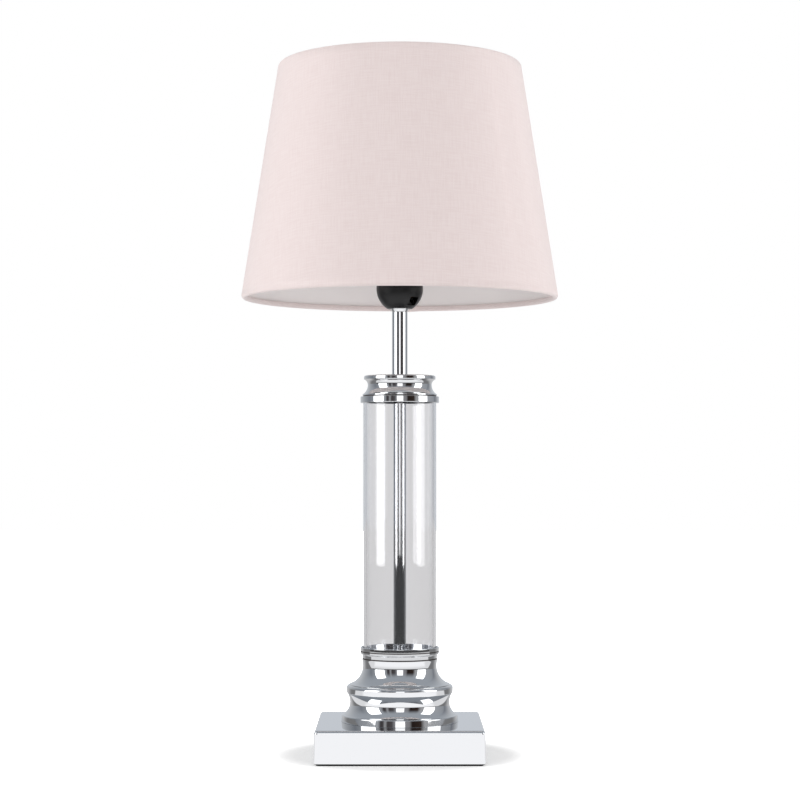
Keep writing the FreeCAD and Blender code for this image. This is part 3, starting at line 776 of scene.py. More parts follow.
def makeCap():
    sizes = capSizes
    bottom, top = levels("cap")
    band = radiusOf("cap")
    ceiling = bottom + sizes["seatDepth"]
    groove = bottom + sizes["band"]
    flareLow = groove + sizes["groove"]
    flareTop = flareLow + sizes["flareLand"]
    flare = band - sizes["flareInset"]
    grooveRadius = band - sizes["grooveDepth"] - sizes["groove"]
    waistLevel = bottom + sizes["waistHeight"]
    lipLevel = top - sizes["lipHeight"]
    lowerCentre = uprightCentre(sizes["waist"], waistLevel, flare, flareTop)
    upperCentre = uprightCentre(sizes["waist"], waistLevel, sizes["lip"], lipLevel)
    outline = Outline((upperSizes["cupBore"], bottom, 0.25), (band - sizes["edge"], bottom))
    outline.arc(band, bottom + sizes["edge"], band - sizes["edge"], bottom + sizes["edge"], 5)
    outline.to((band, groove, 0.3), (grooveRadius, groove), (grooveRadius, flareLow),
               (flare, flareLow, 0.25), (flare, flareTop, 0.25))
    outline.arc(sizes["waist"], waistLevel, lowerCentre, waistLevel)
    outline.arc(sizes["lip"], lipLevel, upperCentre, waistLevel)
    outline.points[-1] = (sizes["lip"], lipLevel, 0.25)
    outline.edge(sizes["lip"], top, sizes["lipEdge"], 8)
    outline.to((lowerSizes["rodHole"], top), (lowerSizes["rodHole"], top - sizes["topThickness"]),
               (sizes["hollow"], top - sizes["topThickness"]), (sizes["hollow"], ceiling),
               (upperSizes["cupBore"], ceiling))
    piece = placeTurned("turnedCap", outline, 256, "chrome", "cap")
    paintGrooveShade(piece, grooveRadius - 0.02, flare - 0.3, groove - 0.02, flareLow + 0.02)


tubes = {
    # name, bore, how much its corners are rounded, slot and segments
    "stem_sleeve": ("stemSleeve", 5.1, 0.25, "chrome", 96),
    "tie_rod": ("tieRod", 3.5, 0.4, "chrome", 96),
    "lower_gasket": ("lowerGasket", 26.25, 0.3, "clear_gasket", 160),
    "upper_gasket": ("upperGasket", 26.25, 0.3, "clear_gasket", 160),
}


def makeTube(node, name, bore, soft, slot, segments):
    # a plain tube or washer in place of a CAD node
    bottom, top = levels(node)
    outer = radiusOf(node)
    outline = Outline((bore, bottom), (outer, bottom, soft), (outer, top, soft), (bore, top))
    placeTurned(name, outline, segments, slot, node)


makeLowerPedestal()
makeUpperPedestal()
makeGlass()
makeCap()
for tubeNode, tube in tubes.items():
    makeTube(tubeNode, *tube)


washerSizes = {"bore": 5.1, "cone": 1.2}


def makeNeckWasher():
    # the small cone between stem and dome: its lower edge has a narrow bright step
    bottom, top = levels("neck_washer")
    outer = radiusOf("neck_washer")
    bore = washerSizes["bore"]
    outline = Outline((bore, bottom), (outer - washerSizes["cone"], bottom, 0.2), (outer, top, 0.25),
                      (bore, top))
    placeTurned("neckWasher", outline, 96, "chrome", "neck_washer")


makeNeckWasher()
print("column ready")


# lampholder

holderSizes = {
    "base": 9.9,
    "dome": 18.45,
    "curveHeight": 16.0,
    "wall": 1.8,
    "floor": 2.8,
    "ledgeHeight": 13.0,
    "ledge": 1.75,
    "bush": 6.2,
    "rod": 5.0,
    "bushFlange": 8.2,
    "bushFlangeThickness": 1.2,
    "screwHeight": 6.6,
    "screwRadius": 1.5,
    "screwLength": 3.6,
    "screwChamfer": 0.3,
    "screwPitch": 0.5,
    "screwThread": 0.18,             # the thread's depth
    "screwSlot": (0.5, 0.8),         # width and depth
    "windowTurn": -44.0,
    "windowWidth": 8.6,
    "windowBottom": 2.2,
    "windowHeight": 6.3,
    "windowDepth": 3.0,
    "rampDepth": 1.6,
}


def domeFace(height):
    # the dome's outside radius at a height above its flat bottom
    sizes = holderSizes
    curve = uprightCentre(sizes["dome"], sizes["curveHeight"], sizes["base"], 0.0)
    swing = sizes["dome"] - curve
    return curve + math.sqrt(swing ** 2 - (sizes["curveHeight"] - height) ** 2)


def windowCutter(corners):
    # a three-cornered cutter from these corners out past the dome
    outward = [(x + holderSizes["dome"], y, z) for x, y, z in corners]
    rings = [[(x * mm, y * mm, z * mm) for x, y, z in ring] for ring in (corners, outward)]
    mesh = lofted("cutter", rings)
    mesh.transform(Matrix.Rotation(math.radians(holderSizes["windowTurn"]), 4, "Z"))
    return mesh


def makeDome():
    # the dome, with the window for the lock screw: a three-cornered hole and a ramp beside it
    sizes = holderSizes
    bottom, top = levels("holder_dome")
    curveLevel = bottom + sizes["curveHeight"]
    floor = bottom + sizes["floor"]
    bore = sizes["dome"] - sizes["wall"]
    ledge = bore - sizes["ledge"]
    centre = uprightCentre(sizes["dome"], curveLevel, sizes["base"], bottom)
    swing = sizes["dome"] - centre - sizes["wall"]
    bend = curveLevel - math.sqrt(swing ** 2 - (ledge - centre) ** 2)
    inner = centre + math.sqrt(swing ** 2 - (curveLevel - floor) ** 2)
    outline = Outline((sizes["bush"], bottom, 0.2), (sizes["base"], bottom, 0.3))
    outline.arc(sizes["dome"], curveLevel, centre, curveLevel, 36)
    outline.to((sizes["dome"], top, 0.35), (bore, top, 0.2), (bore, bottom + sizes["ledgeHeight"]),
               (ledge, bottom + sizes["ledgeHeight"], 0.2), (ledge, bend))
    outline.arc(inner, floor, centre, curveLevel, 14)
    outline.to((sizes["bush"], floor))
    mesh = turned("holderDome", outline.corners(), 192)
    half = sizes["windowWidth"] / 2
    low = sizes["windowBottom"]
    high = low + sizes["windowHeight"]
    inside = sizes["bush"] + sizes["windowDepth"]

    def face(height):
        return math.sqrt(domeFace(height) ** 2 - half ** 2)

    hole = [(inside, -half, bottom + high), (inside, half, bottom + high), (inside, half, bottom + low)]
    ramp = [(face(high) - sizes["rampDepth"], -half, bottom + high),
            (face(low) - sizes["rampDepth"], half, bottom + low), (face(low), -half, bottom + low)]
    mesh = cut(mesh, windowCutter(hole))
    mesh = cut(mesh, windowCutter(ramp))
    place("holderDome", mesh, "holder_plastic", "holder_dome", angle=28)


def threadWave(z, angle, pitch):
    # a wave along Z, from 1 to -1 and back in one pitch, that climbs one pitch in a full turn
    return math.cos(2 * math.pi * (z / pitch - angle / (2 * math.pi)))


def makeBush():
    # the steel bush that the rod's end screws into, and the lock screw through its side
    sizes = holderSizes
    bottom, top = levels("entry_bush")
    floor = bottom + sizes["floor"]
    lip = floor + sizes["bushFlangeThickness"]
    outline = Outline((sizes["rod"], bottom, 0.3), (sizes["bush"], bottom), (sizes["bush"], floor),
                      (sizes["bushFlange"], floor, 0.15), (sizes["bushFlange"], lip, 0.25),
                      (sizes["bush"], lip), (sizes["bush"], top, 0.3), (sizes["rod"], top, 0.3))
    mesh = turned("entryBush", outline.corners(), 96)
    turn = math.radians(sizes["windowTurn"])
    way = (math.cos(turn), math.sin(turn), 0.0)
    height = bottom + sizes["screwHeight"]
    hole = drill(sizes["screwRadius"], 0.0, 9.0)
    mesh = cut(mesh, aimed(hole, (0.0, 0.0, height), way))
    place("entryBush", mesh, "zinc_steel", "entry_bush")
    length = sizes["screwLength"]
    outer = sizes["screwRadius"]
    chamfer = sizes["screwChamfer"]

    def thread(radius, z, angle):
        if radius < outer - 0.2 or not chamfer < z < length - chamfer:
            return radius, z
        crest = 0.5 + 0.5 * threadWave(z, angle, sizes["screwPitch"])
        return radius - sizes["screwThread"] * crest, z

    outline = [(0.0, 0.0), (1.0, 0.0), (outer, chamfer)]
    outline += [(outer, chamfer + 0.08 * k) for k in range(1, int((length - 2 * chamfer) / 0.08))]
    outline += [(outer, length - chamfer), (outer - chamfer, length), (0.0, length)]
    screw = turned("lockScrew", outline, 32, thread)
    slotWide, slotDeep = sizes["screwSlot"]
    screw = cut(screw, blockMesh((-2.0, -slotWide / 2, length - slotDeep),
                                 (2.0, slotWide / 2, length + 1.0)))
    start = Vector((way[0], way[1], 0.0)) * sizes["rod"] + Vector((0.0, 0.0, height))
    aimed(screw, start, way)
    # the lock screw takes the darkened steel: painted shade in the dome's window
    place("lockScrew", screw, "zinc_steel", "lock_screw", finish="windowShadeSteel")


barrelSizes = {
    "skirt": 19.0,
    "line": ((3.2, 0.0), (3.6, 0.45), (4.2, 0.45), (4.6, 0.0)),   # above the dome, and how deep
    "thread": 19.6,
    "threadPitch": 2.5,
    "threadDepth": 0.7,
    "spigotWall": 1.4,
    "flangeHeight": 10.0,
    "flangeThickness": 3.0,
    "flange": 23.5,
    "mouth": 1.0,
    "bore": 13.9,
}


def makeBarrel():
    # the barrel: spigot, skirt with a turned line, the shade's seat and a coarse round thread
    sizes = barrelSizes
    bottom, top = levels("holder_barrel")
    domeTop = levels("holder_dome")[1]
    wellFloor = top - barrelRise()
    seatLow = domeTop + sizes["flangeHeight"]
    seat = seatLow + sizes["flangeThickness"]
    domeBore = holderSizes["dome"] - holderSizes["wall"]
    spigotBore = domeBore - sizes["spigotWall"]
    outline = Outline((spigotBore, bottom, 0.2), (domeBore, bottom, 0.2), (domeBore, domeTop),
                      (sizes["skirt"], domeTop, 0.3))
    outline.to(*((sizes["skirt"] - depth, domeTop + rise, 0.1) for rise, depth in sizes["line"]))
    outline.to((sizes["skirt"], seatLow - 0.6, 0.3), (sizes["flange"] - 0.4, seatLow, 0.2),
               (sizes["flange"], seatLow + 0.4, 0.2), (sizes["flange"], seat, 0.35),
               (sizes["thread"], seat))
    threadLow = seat + 0.5
    threadHigh = top - 0.8
    count = int((threadHigh - threadLow) / (sizes["threadPitch"] / 12))
    outline.rows(sizes["thread"], threadLow, threadHigh, count)
    outline.to((sizes["thread"] - 0.6, top), (sizes["bore"] + sizes["mouth"], top, 0.2),
               (sizes["bore"], top - sizes["mouth"], 0.2), (sizes["bore"], wellFloor),
               (spigotBore, wellFloor))

    def thread(radius, z, angle):
        if radius < sizes["thread"] - 0.01 or not threadLow < z < threadHigh:
            return radius, z
        wave = threadWave(z, angle, sizes["threadPitch"])
        fade = min(1.0, (z - threadLow) / 1.5, (threadHigh - z) / 1.0)
        return radius - sizes["threadDepth"] * fade * min(max(0.5 + 0.85 * wave, 0.0), 1.0), z

    placeTurned("holderBarrel", outline, 144, "holder_plastic", "holder_barrel", thread)


def barrelRise():
    # from the porcelain's shoulder to the barrel's mouth
    return levels("holder_barrel")[1] - (levels("screw_shell")[0] - socketSizes["spigot"])


ringSizes = {
    "bore": 19.7,
    "flange": 27.0,
    "flangeHeight": 3.0,
    "grip": 24.0,
    "scallops": 16,
    "scallopRadius": 1.6,
    "scallopDepth": 1.05,
    "threadPitch": 2.5,
    "threadDepth": 0.5,
}


def makeShadeRing():
    # the screwed ring over the carrier: a flange, a grip with scallops, and a thread inside
    sizes = ringSizes
    bottom, top = levels("shade_ring")
    flangeTop = bottom + sizes["flangeHeight"]
    outline = Outline((sizes["bore"], bottom, 0.3), (sizes["flange"], bottom, 0.3),
                      (sizes["flange"], flangeTop, 0.8), (sizes["grip"], flangeTop, 0.3))
    for step in range(1, 6):
        outline.to((sizes["grip"], flangeTop + (top - 0.8 - flangeTop) * step / 5))
    outline.to((sizes["grip"], top, 0.6), (sizes["bore"] + 0.6, top), (sizes["bore"], top - 0.6))
    turns = int((top - bottom - 1.2) / (sizes["threadPitch"] / 10))
    for step in range(1, turns):
        outline.to((sizes["bore"], top - 0.6 - (top - bottom - 1.2) * step / turns))

    def scallop(radius, z, angle):
        if sizes["grip"] - 1.2 < radius < sizes["grip"] + 0.01 and z > flangeTop + 0.05:
            part = 2 * math.pi / sizes["scallops"]
            aside = abs((angle + part / 2) % part - part / 2) * sizes["grip"]
            depth = max(0.0, 1 - (aside / sizes["scallopRadius"]) ** 2) ** 0.5
            return radius - sizes["scallopDepth"] * depth, z
        if radius < sizes["bore"] + 0.01 and bottom + 0.6 < z < top - 0.7:
            wave = threadWave(z, angle, sizes["threadPitch"])
            return radius + sizes["threadDepth"] * min(max(0.5 - 0.85 * wave, 0.0), 1.0), z
        return radius, z

    placeTurned("shadeRing", outline, 320, "holder_plastic", "shade_ring", scallop, body="shade_ring")


socketSizes = {
    "holeOffset": 9.0,
    "hole": 2.0,
    "well": 11.5,
    "spigot": 5.5,                   # height of the block's narrow top, inside the screw shell
    "shell": 13.3,
    "shellWall": 0.5,
    "sheet": 0.4,
    "threadPitch": 3.62,             # the usual pitch of a 27 mm screw lamp cap
    "threadDepth": 0.95,
    "contactOffset": 8.0,
    "contactWidth": 6.0,
    "contactSheet": 0.5,
    "contactTip": -3.0,
    "contactHeight": 2.2,            # above the block's shoulder
    "contactRise": 2.0,              # from the bend to the tip
    "contactBend": 0.9,
}


def makePorcelain():
    # the pressed block: flange, body, the well for the centre contact, and its holes
    sizes = socketSizes
    bottom, top = levels("terminal_block")
    flange = radiusOf("terminal_block")
    shoulder = top - sizes["spigot"]
    body = flange - 1.4
    outline = Outline((0.0, bottom), (flange, bottom, 0.4), (flange, bottom + 3.0, 0.3),
                      (body, bottom + 3.0, 0.2), (body, shoulder, 0.4),
                      (sizes["shell"] + sizes["shellWall"], shoulder, 0.2),
                      (sizes["shell"] + sizes["shellWall"], top), (sizes["well"], top, 0.4),
                      (sizes["well"], shoulder, 0.6), (0.0, shoulder))
    mesh = turned("terminalBlock", outline.corners(), 128)
    for side in (-1, 1):
        hole = drill(sizes["hole"], -1.0, top - bottom)
        mesh = cut(mesh, aimed(hole, (0.0, side * sizes["holeOffset"], bottom), (0, 0, 1)))
    slot = sizes["contactSheet"] / 2 + 0.2
    wide = sizes["contactWidth"] / 2 + 0.2
    mesh = cut(mesh, blockMesh((sizes["contactOffset"] - slot, -wide, shoulder - 4.7),
                               (sizes["contactOffset"] + slot, wide, shoulder + 1.0)))
    mesh = cut(mesh, blockMesh((-sizes["contactOffset"] - 0.25, -2.0, bottom - 1.0),
                               (-sizes["contactOffset"] + 0.25, 2.0, shoulder + 1.0)))
    mesh = cut(mesh, blockMesh((-sizes["shell"], -2.0, top - 0.5),
                               (-sizes["contactOffset"], 2.0, top + 1.0)))
    place("terminalBlock", mesh, "porcelain", "terminal_block")


def makeScrewShell():
    # the pressed shell with the round thread that a lamp's cap screws into
    sizes = socketSizes
    bottom, top = levels("screw_shell")
    outer = sizes["shell"] + sizes["shellWall"]
    sheet = sizes["sheet"]
    low = bottom + 1.2
    high = top - 0.9
    count = int((high - low) / (sizes["threadPitch"] / 14))
    outline = Outline((sizes["well"], bottom, 0.1), (outer, bottom, 0.5))
    outline.rows(outer, low, high, count)
    outline.to((outer, top, 0.15), (outer - sheet, top, 0.1))
    outline.rows(outer - sheet, high, low, count)
    outline.to((outer - sheet, bottom + sheet, 0.4), (sizes["well"], bottom + sheet, 0.1))

    def thread(radius, z, angle):
        if radius < outer - sheet - 0.01 or not low < z < high:
            return radius, z
        wave = 0.5 + 0.5 * threadWave(z, angle, sizes["threadPitch"])
        fade = min(1.0, (z - low) / 1.2, (high - z) / 1.2)
        return radius - sizes["threadDepth"] * fade * wave, z

    placeTurned("screwShell", outline, 144, "nickel_shell", "screw_shell", thread)


def makeCentreContact():
    # a bent spring strip that rises over the middle, where the lamp touches it
    sizes = socketSizes
    legFoot = levels("centre_contact")[0]
    shoulder = levels("terminal_block")[1] - sizes["spigot"]
    half = sizes["contactSheet"] / 2
    width = sizes["contactWidth"] / 2
    offset = sizes["contactOffset"]
    legTop = shoulder + sizes["contactHeight"]
    slope = sizes["contactRise"] / (offset - half - sizes["contactTip"])
    path = bentPath([(offset, legFoot), (offset, legTop + half),
                     (sizes["contactTip"], legTop + half + slope * (offset - sizes["contactTip"]))],
                    sizes["contactBend"])
    section = [(-half, -width + 0.3), (-half + 0.12, -width), (half - 0.12, -width), (half, -width + 0.3)]
    section += [(-across, -aside) for across, aside in section]
    strip = swept("centreContact", path, section)
    place("centreContact", strip, "bronze", "centre_contact", body="contact")


terminalSizes = {
    "offset": 8.8,
    "width": 5.4,
    "depth": 5.0,
    "corner": 0.6,
    "screw": 2.0,
    "headHeight": 1.8,
    "slot": 0.5,
}


def makeTerminals():
    # two brass blocks under the porcelain, each with a cheese-headed screw
    sizes = terminalSizes
    bottom, top = levels("terminals")
    middle = (bottom + top) / 2
    blocks = []
    screws = []
    for side in (-1, 1):
        rings = [slabRing(sizes["width"] / 2 - inset, sizes["depth"] / 2 - inset, sizes["corner"],
                          height, 5, side * sizes["offset"])
                 for inset, height in ((0.3, bottom), (0.0, bottom + 0.3), (0.0, top))]
        blocks.append(lofted("terminal", rings))
        outline = Outline((0.0, 0.0), (sizes["screw"], 0.0, 0.1),
                          (sizes["screw"], sizes["headHeight"], 0.5), (0.0, sizes["headHeight"]))
        head = turned("terminalScrew", outline.corners(), 40)
        slot = sizes["slot"] / 2
        head = cut(head, blockMesh((-3.0, -slot, sizes["headHeight"] - 0.8), (3.0, slot, 3.0)))
        aimed(head, (side * sizes["offset"], -sizes["depth"] / 2, middle), (0, -1, 0))
        screws.append(head)
    place("terminals", joined("terminals", blocks), "brass", "terminals")
    place("terminalScrews", joined("terminalScrews", screws), "brass", "terminal_screws")


makeDome()
makeBush()
makeBarrel()
makeShadeRing()
makePorcelain()
makeScrewShell()
makeCentreContact()
makeTerminals()
dressNode("side_contact", "bronze")
print("lampholder ready")


# shade

shadeSizes = {
    "wire": 1.4,                     # the CAD's wire stands for this one and the glue round it
    "wireShift": 0.6,                # outwards and to the rim, so that the hem keeps its outside
    "cloth": 0.6,
    "roll": 1.9,                     # from a wire's centre to the middle of the cloth round it
    "rollTurn": 285.0,               # degrees that the cloth goes round each wire
    "rollSteps": 18,
    "segments": 480,
    "rows": 36,
    "overlap": 10.0,
    "overlapLift": 0.68,
    "ripple": 0.3,
    "arms": (90.0, 210.0, 330.0),
    "notch": 2.6,                    # half the width cut out of the hem for an arm
    "liner": 0.5,
    "linerGap": 0.12,
    "linerEnd": 1.9,                 # from each wire's middle
    "linerRows": 24,
}
carrierSizes = {
    "ringBore": 21.0,
    "ring": 30.0,
    "thickness": 1.2,
    "arm": 1.75,
    "foot": 5.0,
    "sunk": 1.0,
    "bend": 8.0,
    "footBead": (1.3, 2.3, 1.5),
    "topBead": (1.3, 2.4, 1.2),
}


def wireCircle(node):
    # radius and height of a rim wire's middle line
    bottom, top = levels(node)
    shift = shadeSizes["wireShift"]
    rim = shift if node == "upper_wire" else -shift
    return Vector((radiusOf(node) - (top - bottom) / 2 + shift, (bottom + top) / 2 + rim))


def makeWire(name, node):
    # a rim wire: a round steel wire bent to a ring
    middle = wireCircle(node)
    section = [(middle.x + x, middle.y + z) for x, z in roundSection(shadeSizes["wire"])]
    mesh = turned(name, section, 240)
    place(name, mesh, "wire_white", node, body="shade", angle=60)


def makeCarrier():
    # the dropped spider: a flat ring and three bent arms, welded and then painted white
    sizes = carrierSizes
    bottom = levels("shade_carrier")[0]
    top = bottom + sizes["thickness"]
    outline = Outline((sizes["ringBore"], bottom, 0.35), (sizes["ring"], bottom, 0.35),
                      (sizes["ring"], top, 0.35), (sizes["ringBore"], top, 0.35))
    parts = [turned("carrierRing", outline.corners(), 160)]
    wire = wireCircle("upper_wire")
    level = (bottom + top) / 2
    corner = Vector((sizes["ring"] + sizes["foot"], level))
    reach = (wire - corner).length - shadeSizes["wire"] + 0.5
    end = corner + (wire - corner).normalized() * reach
    path = bentPath([(sizes["ring"] - sizes["sunk"], level), tuple(corner), tuple(end)], sizes["bend"])
    for index, turn in enumerate(shadeSizes["arms"]):
        arm = swept("carrierArm", path, roundSection(sizes["arm"]))
        footBead = weldBead((sizes["ring"] + 0.1, 0.0, level), sizes["footBead"], index)
        topBead = weldBead((end.x + 0.1, 0.0, end.y - 0.1), sizes["topBead"], index + 7)
        for piece in (arm, footBead, topBead):
            piece.transform(Matrix.Rotation(math.radians(turn), 4, "Z"))
            parts.append(piece)
    mesh = joined("shadeCarrier", parts)
    place("shadeCarrier", mesh, "wire_white", "shade_carrier", body="shade", angle=50)


def shadeSlant():
    # the middles of both rim wires, the way up between them and the way out of the cloth
    bottomWire = wireCircle("lower_wire")
    topWire = wireCircle("upper_wire")
    rise = (topWire - bottomWire).normalized()
    return bottomWire, topWire, rise, Vector((rise.y, -rise.x))


def clothProfile():
    # the cloth's half section: spots on its middle line and the way that each faces
    bottomWire, topWire, rise, outward = shadeSlant()
    sizes = shadeSizes
    spots = []
    steps = sizes["rollSteps"]
    for step in range(steps, 0, -1):
        angle = math.radians(sizes["rollTurn"]) * step / steps
        way = outward * math.cos(angle) - rise * math.sin(angle)
        spots.append((bottomWire + way * sizes["roll"], way, "bottom"))
    for step in range(sizes["rows"] + 1):
        middle = bottomWire.lerp(topWire, step / sizes["rows"])
        spots.append((middle + outward * sizes["roll"], outward, "side"))
    for step in range(1, steps + 1):
        angle = math.radians(sizes["rollTurn"]) * step / steps
        way = outward * math.cos(angle) + rise * math.sin(angle)
        spots.append((topWire + way * sizes["roll"], way, "inner" if angle > math.pi * 0.95 else "top"))
    return spots


def makeCloth():
    # one strip of cloth round the frame: rolled over both wires, lapped and glued at the back
    sizes = shadeSizes
    spots = clothProfile()
    lap = sizes["overlap"] / (radiusOf("shade_fabric") * 0.89)
    count = sizes["segments"]
    first = math.pi / 2 - lap / 2
    turn = 2 * math.pi + lap
    vertices = []
    for column in range(count + 1):
        angle = first + turn * column / count
        left = turn * (1 - column / count)
        lift = sizes["overlapLift"] * min(1.0, max(0.0, (2 * lap - left) / (0.9 * lap)))
        heading = Vector((math.cos(angle), math.sin(angle), 0.0))
        for spot, way, part in spots:
            wave = noise.noise(Vector((heading.x * 2.2, heading.y * 2.2, spot.y / 90.0))) * 0.5 + 0.5
            fine = noise.noise(Vector((heading.x * 9.0, heading.y * 9.0, spot.y / 25.0))) * 0.15
            out = lift + (sizes["ripple"] * max(0.0, wave + fine) if part == "side" else 0.04 * fine)
            point = spot + way * out
            vertices.append((heading.x * point.x * mm, heading.y * point.x * mm, point.y * mm))
    rows = len(spots)
    faces = []
    for column in range(count):
        angle = math.degrees(first + turn * (column + 0.5) / count)
        for row in range(rows - 1):
            if spots[row][2] == "inner":
                aside = min(abs((angle - arm + 180) % 360 - 180) for arm in sizes["arms"])
                if math.radians(aside) * spots[row][0].x < sizes["notch"]:
                    continue
            base = column * rows + row
            faces.append((base, base + 1, base + rows + 1, base + rows))
    mesh = bpy.data.meshes.new("shadeCloth")
    mesh.from_pydata(vertices, [], faces)
    cloth = place("shadeCloth", mesh, "shade_fabric", "shade_fabric", body="shade", angle=60)
    thick = cloth.modifiers.new("clothThickness", "SOLIDIFY")
    thick.thickness = sizes["cloth"] * mm
    thick.offset = 0.0


def makeLiner():
    # the stiff white sheet behind the cloth, butted at the back
    sizes = shadeSizes
    bottomWire, topWire, rise, outward = shadeSlant()
    outer = sizes["roll"] - sizes["cloth"] / 2 - sizes["linerGap"]
    inner = outer - sizes["liner"]
    low = bottomWire + rise * sizes["linerEnd"]
    high = topWire - rise * sizes["linerEnd"]
    shares = [step / sizes["linerRows"] for step in range(sizes["linerRows"] + 1)]
    points = [low.lerp(high, share) + outward * outer for share in shares]
    points += [high.lerp(low, share) + outward * inner for share in shares]
    mesh = turned("shadeLiner", [tuple(point) for point in points], 240)
    place("shadeLiner", mesh, "shade_liner", "shade_liner", body="shade")


makeWire("lowerRimWire", "lower_wire")
makeWire("upperRimWire", "upper_wire")
makeCarrier()
makeLiner()
makeCloth()
print("shade ready")


# studio

studio = {
    "backdrop": "#FFFFFF",
    "glassBack": 0.80,               # the backdrop as metal and glass show it
    "ambient": 0.58,
    "ambientFront": 0.31,            # the room is darker behind the camera
    "ceiling": "#ABB1B9",
    "room": (
        # degrees round from the camera's side, and the colour of the room there
        (-180, "#D0D5DC"), (-150, "#CBCED2"), (-100, "#868B93"), (-86, "#9CA0A6"), (-44, "#B0B3B8"),
        (-38, "#484548"), (-33, "#4A4648"), (-29, "#AAABAE"), (-24, "#4A4546"), (-15, "#565457"),
        (-10, "#959599"), (13, "#959599"), (19, "#8E8D90"), (24, "#2A2220"), (42, "#382D29"),
        (50, "#B2B2B4"), (92, "#B2B5BA"), (118, "#A0A4AA"), (125, "#848890"), (145, "#C0C2C6"),
        (157, "#CDD1D6"), (180, "#D0D5DC"),
    ),
    # the white table is lit in front of the lamp; it ends before the camera and behind the lamp
    "tableNear": 1.3,
    "tableFar": 0.98,
    "tableReach": 1.0,
    "tableFade": (0.25, 0.60),       # metres out, where its front and back level off
    "tableTurn": (-0.07, -0.02),     # metres along Y, from the near level to the far one
    # a painted contact shadow on the table, dark close round the foot where the metal mirrors it
    "contactShadowEdge": 0.068,            # metres from the middle of the foot
    "contactShadowLevel": 0.04,
    "shadowReach": (0.08, 0.15),     # metres out, where the camera loses the shadow on the white
    "shadowShare": 0.9,
    "tableBackEdge": 0.10,
    "beyondFront": 0.07,
    "beyondSide": 0.24,
    "beyondBack": 0.66,
    "softboxes": {
        # degrees round from the camera's side, width and height and middle height in mm
        "left": {"turn": -65.0, "reach": 1500.0, "size": (900.0, 1500.0), "middle": 830.0, "level": 2.78},
        "right": {"turn": 72.0, "reach": 1500.0, "size": (800.0, 1500.0), "middle": 830.0, "level": 2.65},
        "front": {"turn": 1.0, "reach": 1900.0, "size": (620.0, 1200.0), "middle": 680.0, "level": 1.3},
    },
}


def makeCamera():
    lens = bpy.data.cameras.new("camera")
    lens.lens = camera["lens"]
    lens.sensor_width = camera["sensor"]
    lens.clip_end = 50.0
    eye = bpy.data.objects.new("camera", lens)
    eye.location = [value * mm for value in camera["place"]]
    eye.rotation_euler = (math.pi / 2 + camera["tiltUp"], 0.0, 0.0)
    bpy.context.scene.collection.objects.link(eye)
    bpy.context.scene.camera = eye


def shareByRay(tree, output, seen, soft, mirrored, throughGlass):
    # one shader for the camera, one for soft light, one in the metal and one through the glass
    path = addNode(tree, "LightPath")
    after = addNode(tree, "Math", "MINIMUM", in0=path.outputs["Glossy Depth"], in1=1.0)
    shader = addNode(tree, "MixShader", in0=after, in1=throughGlass, in2=mirrored)
    shader = addNode(tree, "MixShader", in0=path.outputs["Is Diffuse Ray"], in1=shader, in2=soft)
    shader = addNode(tree, "MixShader", in0=path.outputs["Is Camera Ray"], in1=shader, in2=seen)
    addNode(tree, output, Surface=shader)


def makeWorld():
    # white for the camera; a studio room for metal and glass; even soft light for the rest
    world = bpy.data.worlds.new("studioRoom")
    bpy.context.scene.world = world
    world.use_nodes = True
    tree = world.node_tree
    tree.nodes.clear()
    where = addNode(tree, "TexCoord")
    split = addNode(tree, "SeparateXYZ", Vector=where.outputs["Generated"])
    ahead = addNode(tree, "Math", "MULTIPLY", in0=split.outputs["Y"], in1=-1.0)
    turn = addNode(tree, "Math", "ARCTAN2", in0=split.outputs["X"], in1=ahead)
    circle = addNode(tree, "Math", "MULTIPLY_ADD", in0=turn, in1=0.5 / math.pi, in2=0.5)
    walls = addNode(tree, "ValToRGB", Fac=circle)
    stops = walls.color_ramp.elements
    while len(stops) < len(studio["room"]):
        stops.new(0.5)
    for stop, (degrees, tone) in zip(stops, studio["room"]):
        stop.position = degrees / 360 + 0.5
        stop.color = fromHex(tone)
    above = addNode(tree, "MapRange", {"interpolation_type": "SMOOTHSTEP"}, Value=split.outputs["Z"],
                    From_Min=0.25, From_Max=0.8, To_Min=0.0, To_Max=1.0)
    room = addNode(tree, "Mix", {"data_type": "RGBA"}, in0=above, in6=walls,
                   in7=fromHex(studio["ceiling"]))
    seen = addNode(tree, "Background", Color=fromHex(studio["backdrop"]), Strength=1.0)
    glossy = addNode(tree, "Background", Color=room, Strength=1.0)
    through = addNode(tree, "Background", Color=fromHex("#FEFDFD"), Strength=studio["glassBack"])
    fill = addNode(tree, "MapRange", Value=split.outputs["Y"], From_Min=-1.0, From_Max=0.0,
                   To_Min=studio["ambientFront"], To_Max=studio["ambient"])
    soft = addNode(tree, "Background", Color=fromHex("#FFFFFF"), Strength=fill)
    shareByRay(tree, "OutputWorld", seen, soft, glossy, through)


def makeSoftbox(name, turn, reach, size, middle, level):
    # a soft light that shines on the lamp and shows only in its reflections
    light = bpy.data.lights.new(name, "AREA")
    light.shape = "RECTANGLE"
    light.size = size[0] * mm
    light.size_y = size[1] * mm
    light.energy = level * math.pi * size[0] * size[1] * mm * mm
    box = bpy.data.objects.new(name, light)
    angle = math.radians(turn)
    box.location = (math.sin(angle) * reach * mm, -math.cos(angle) * reach * mm, middle * mm)
    box.rotation_euler = (math.pi / 2, 0.0, angle)
    box.visible_camera = False
    bpy.context.scene.collection.objects.link(box)


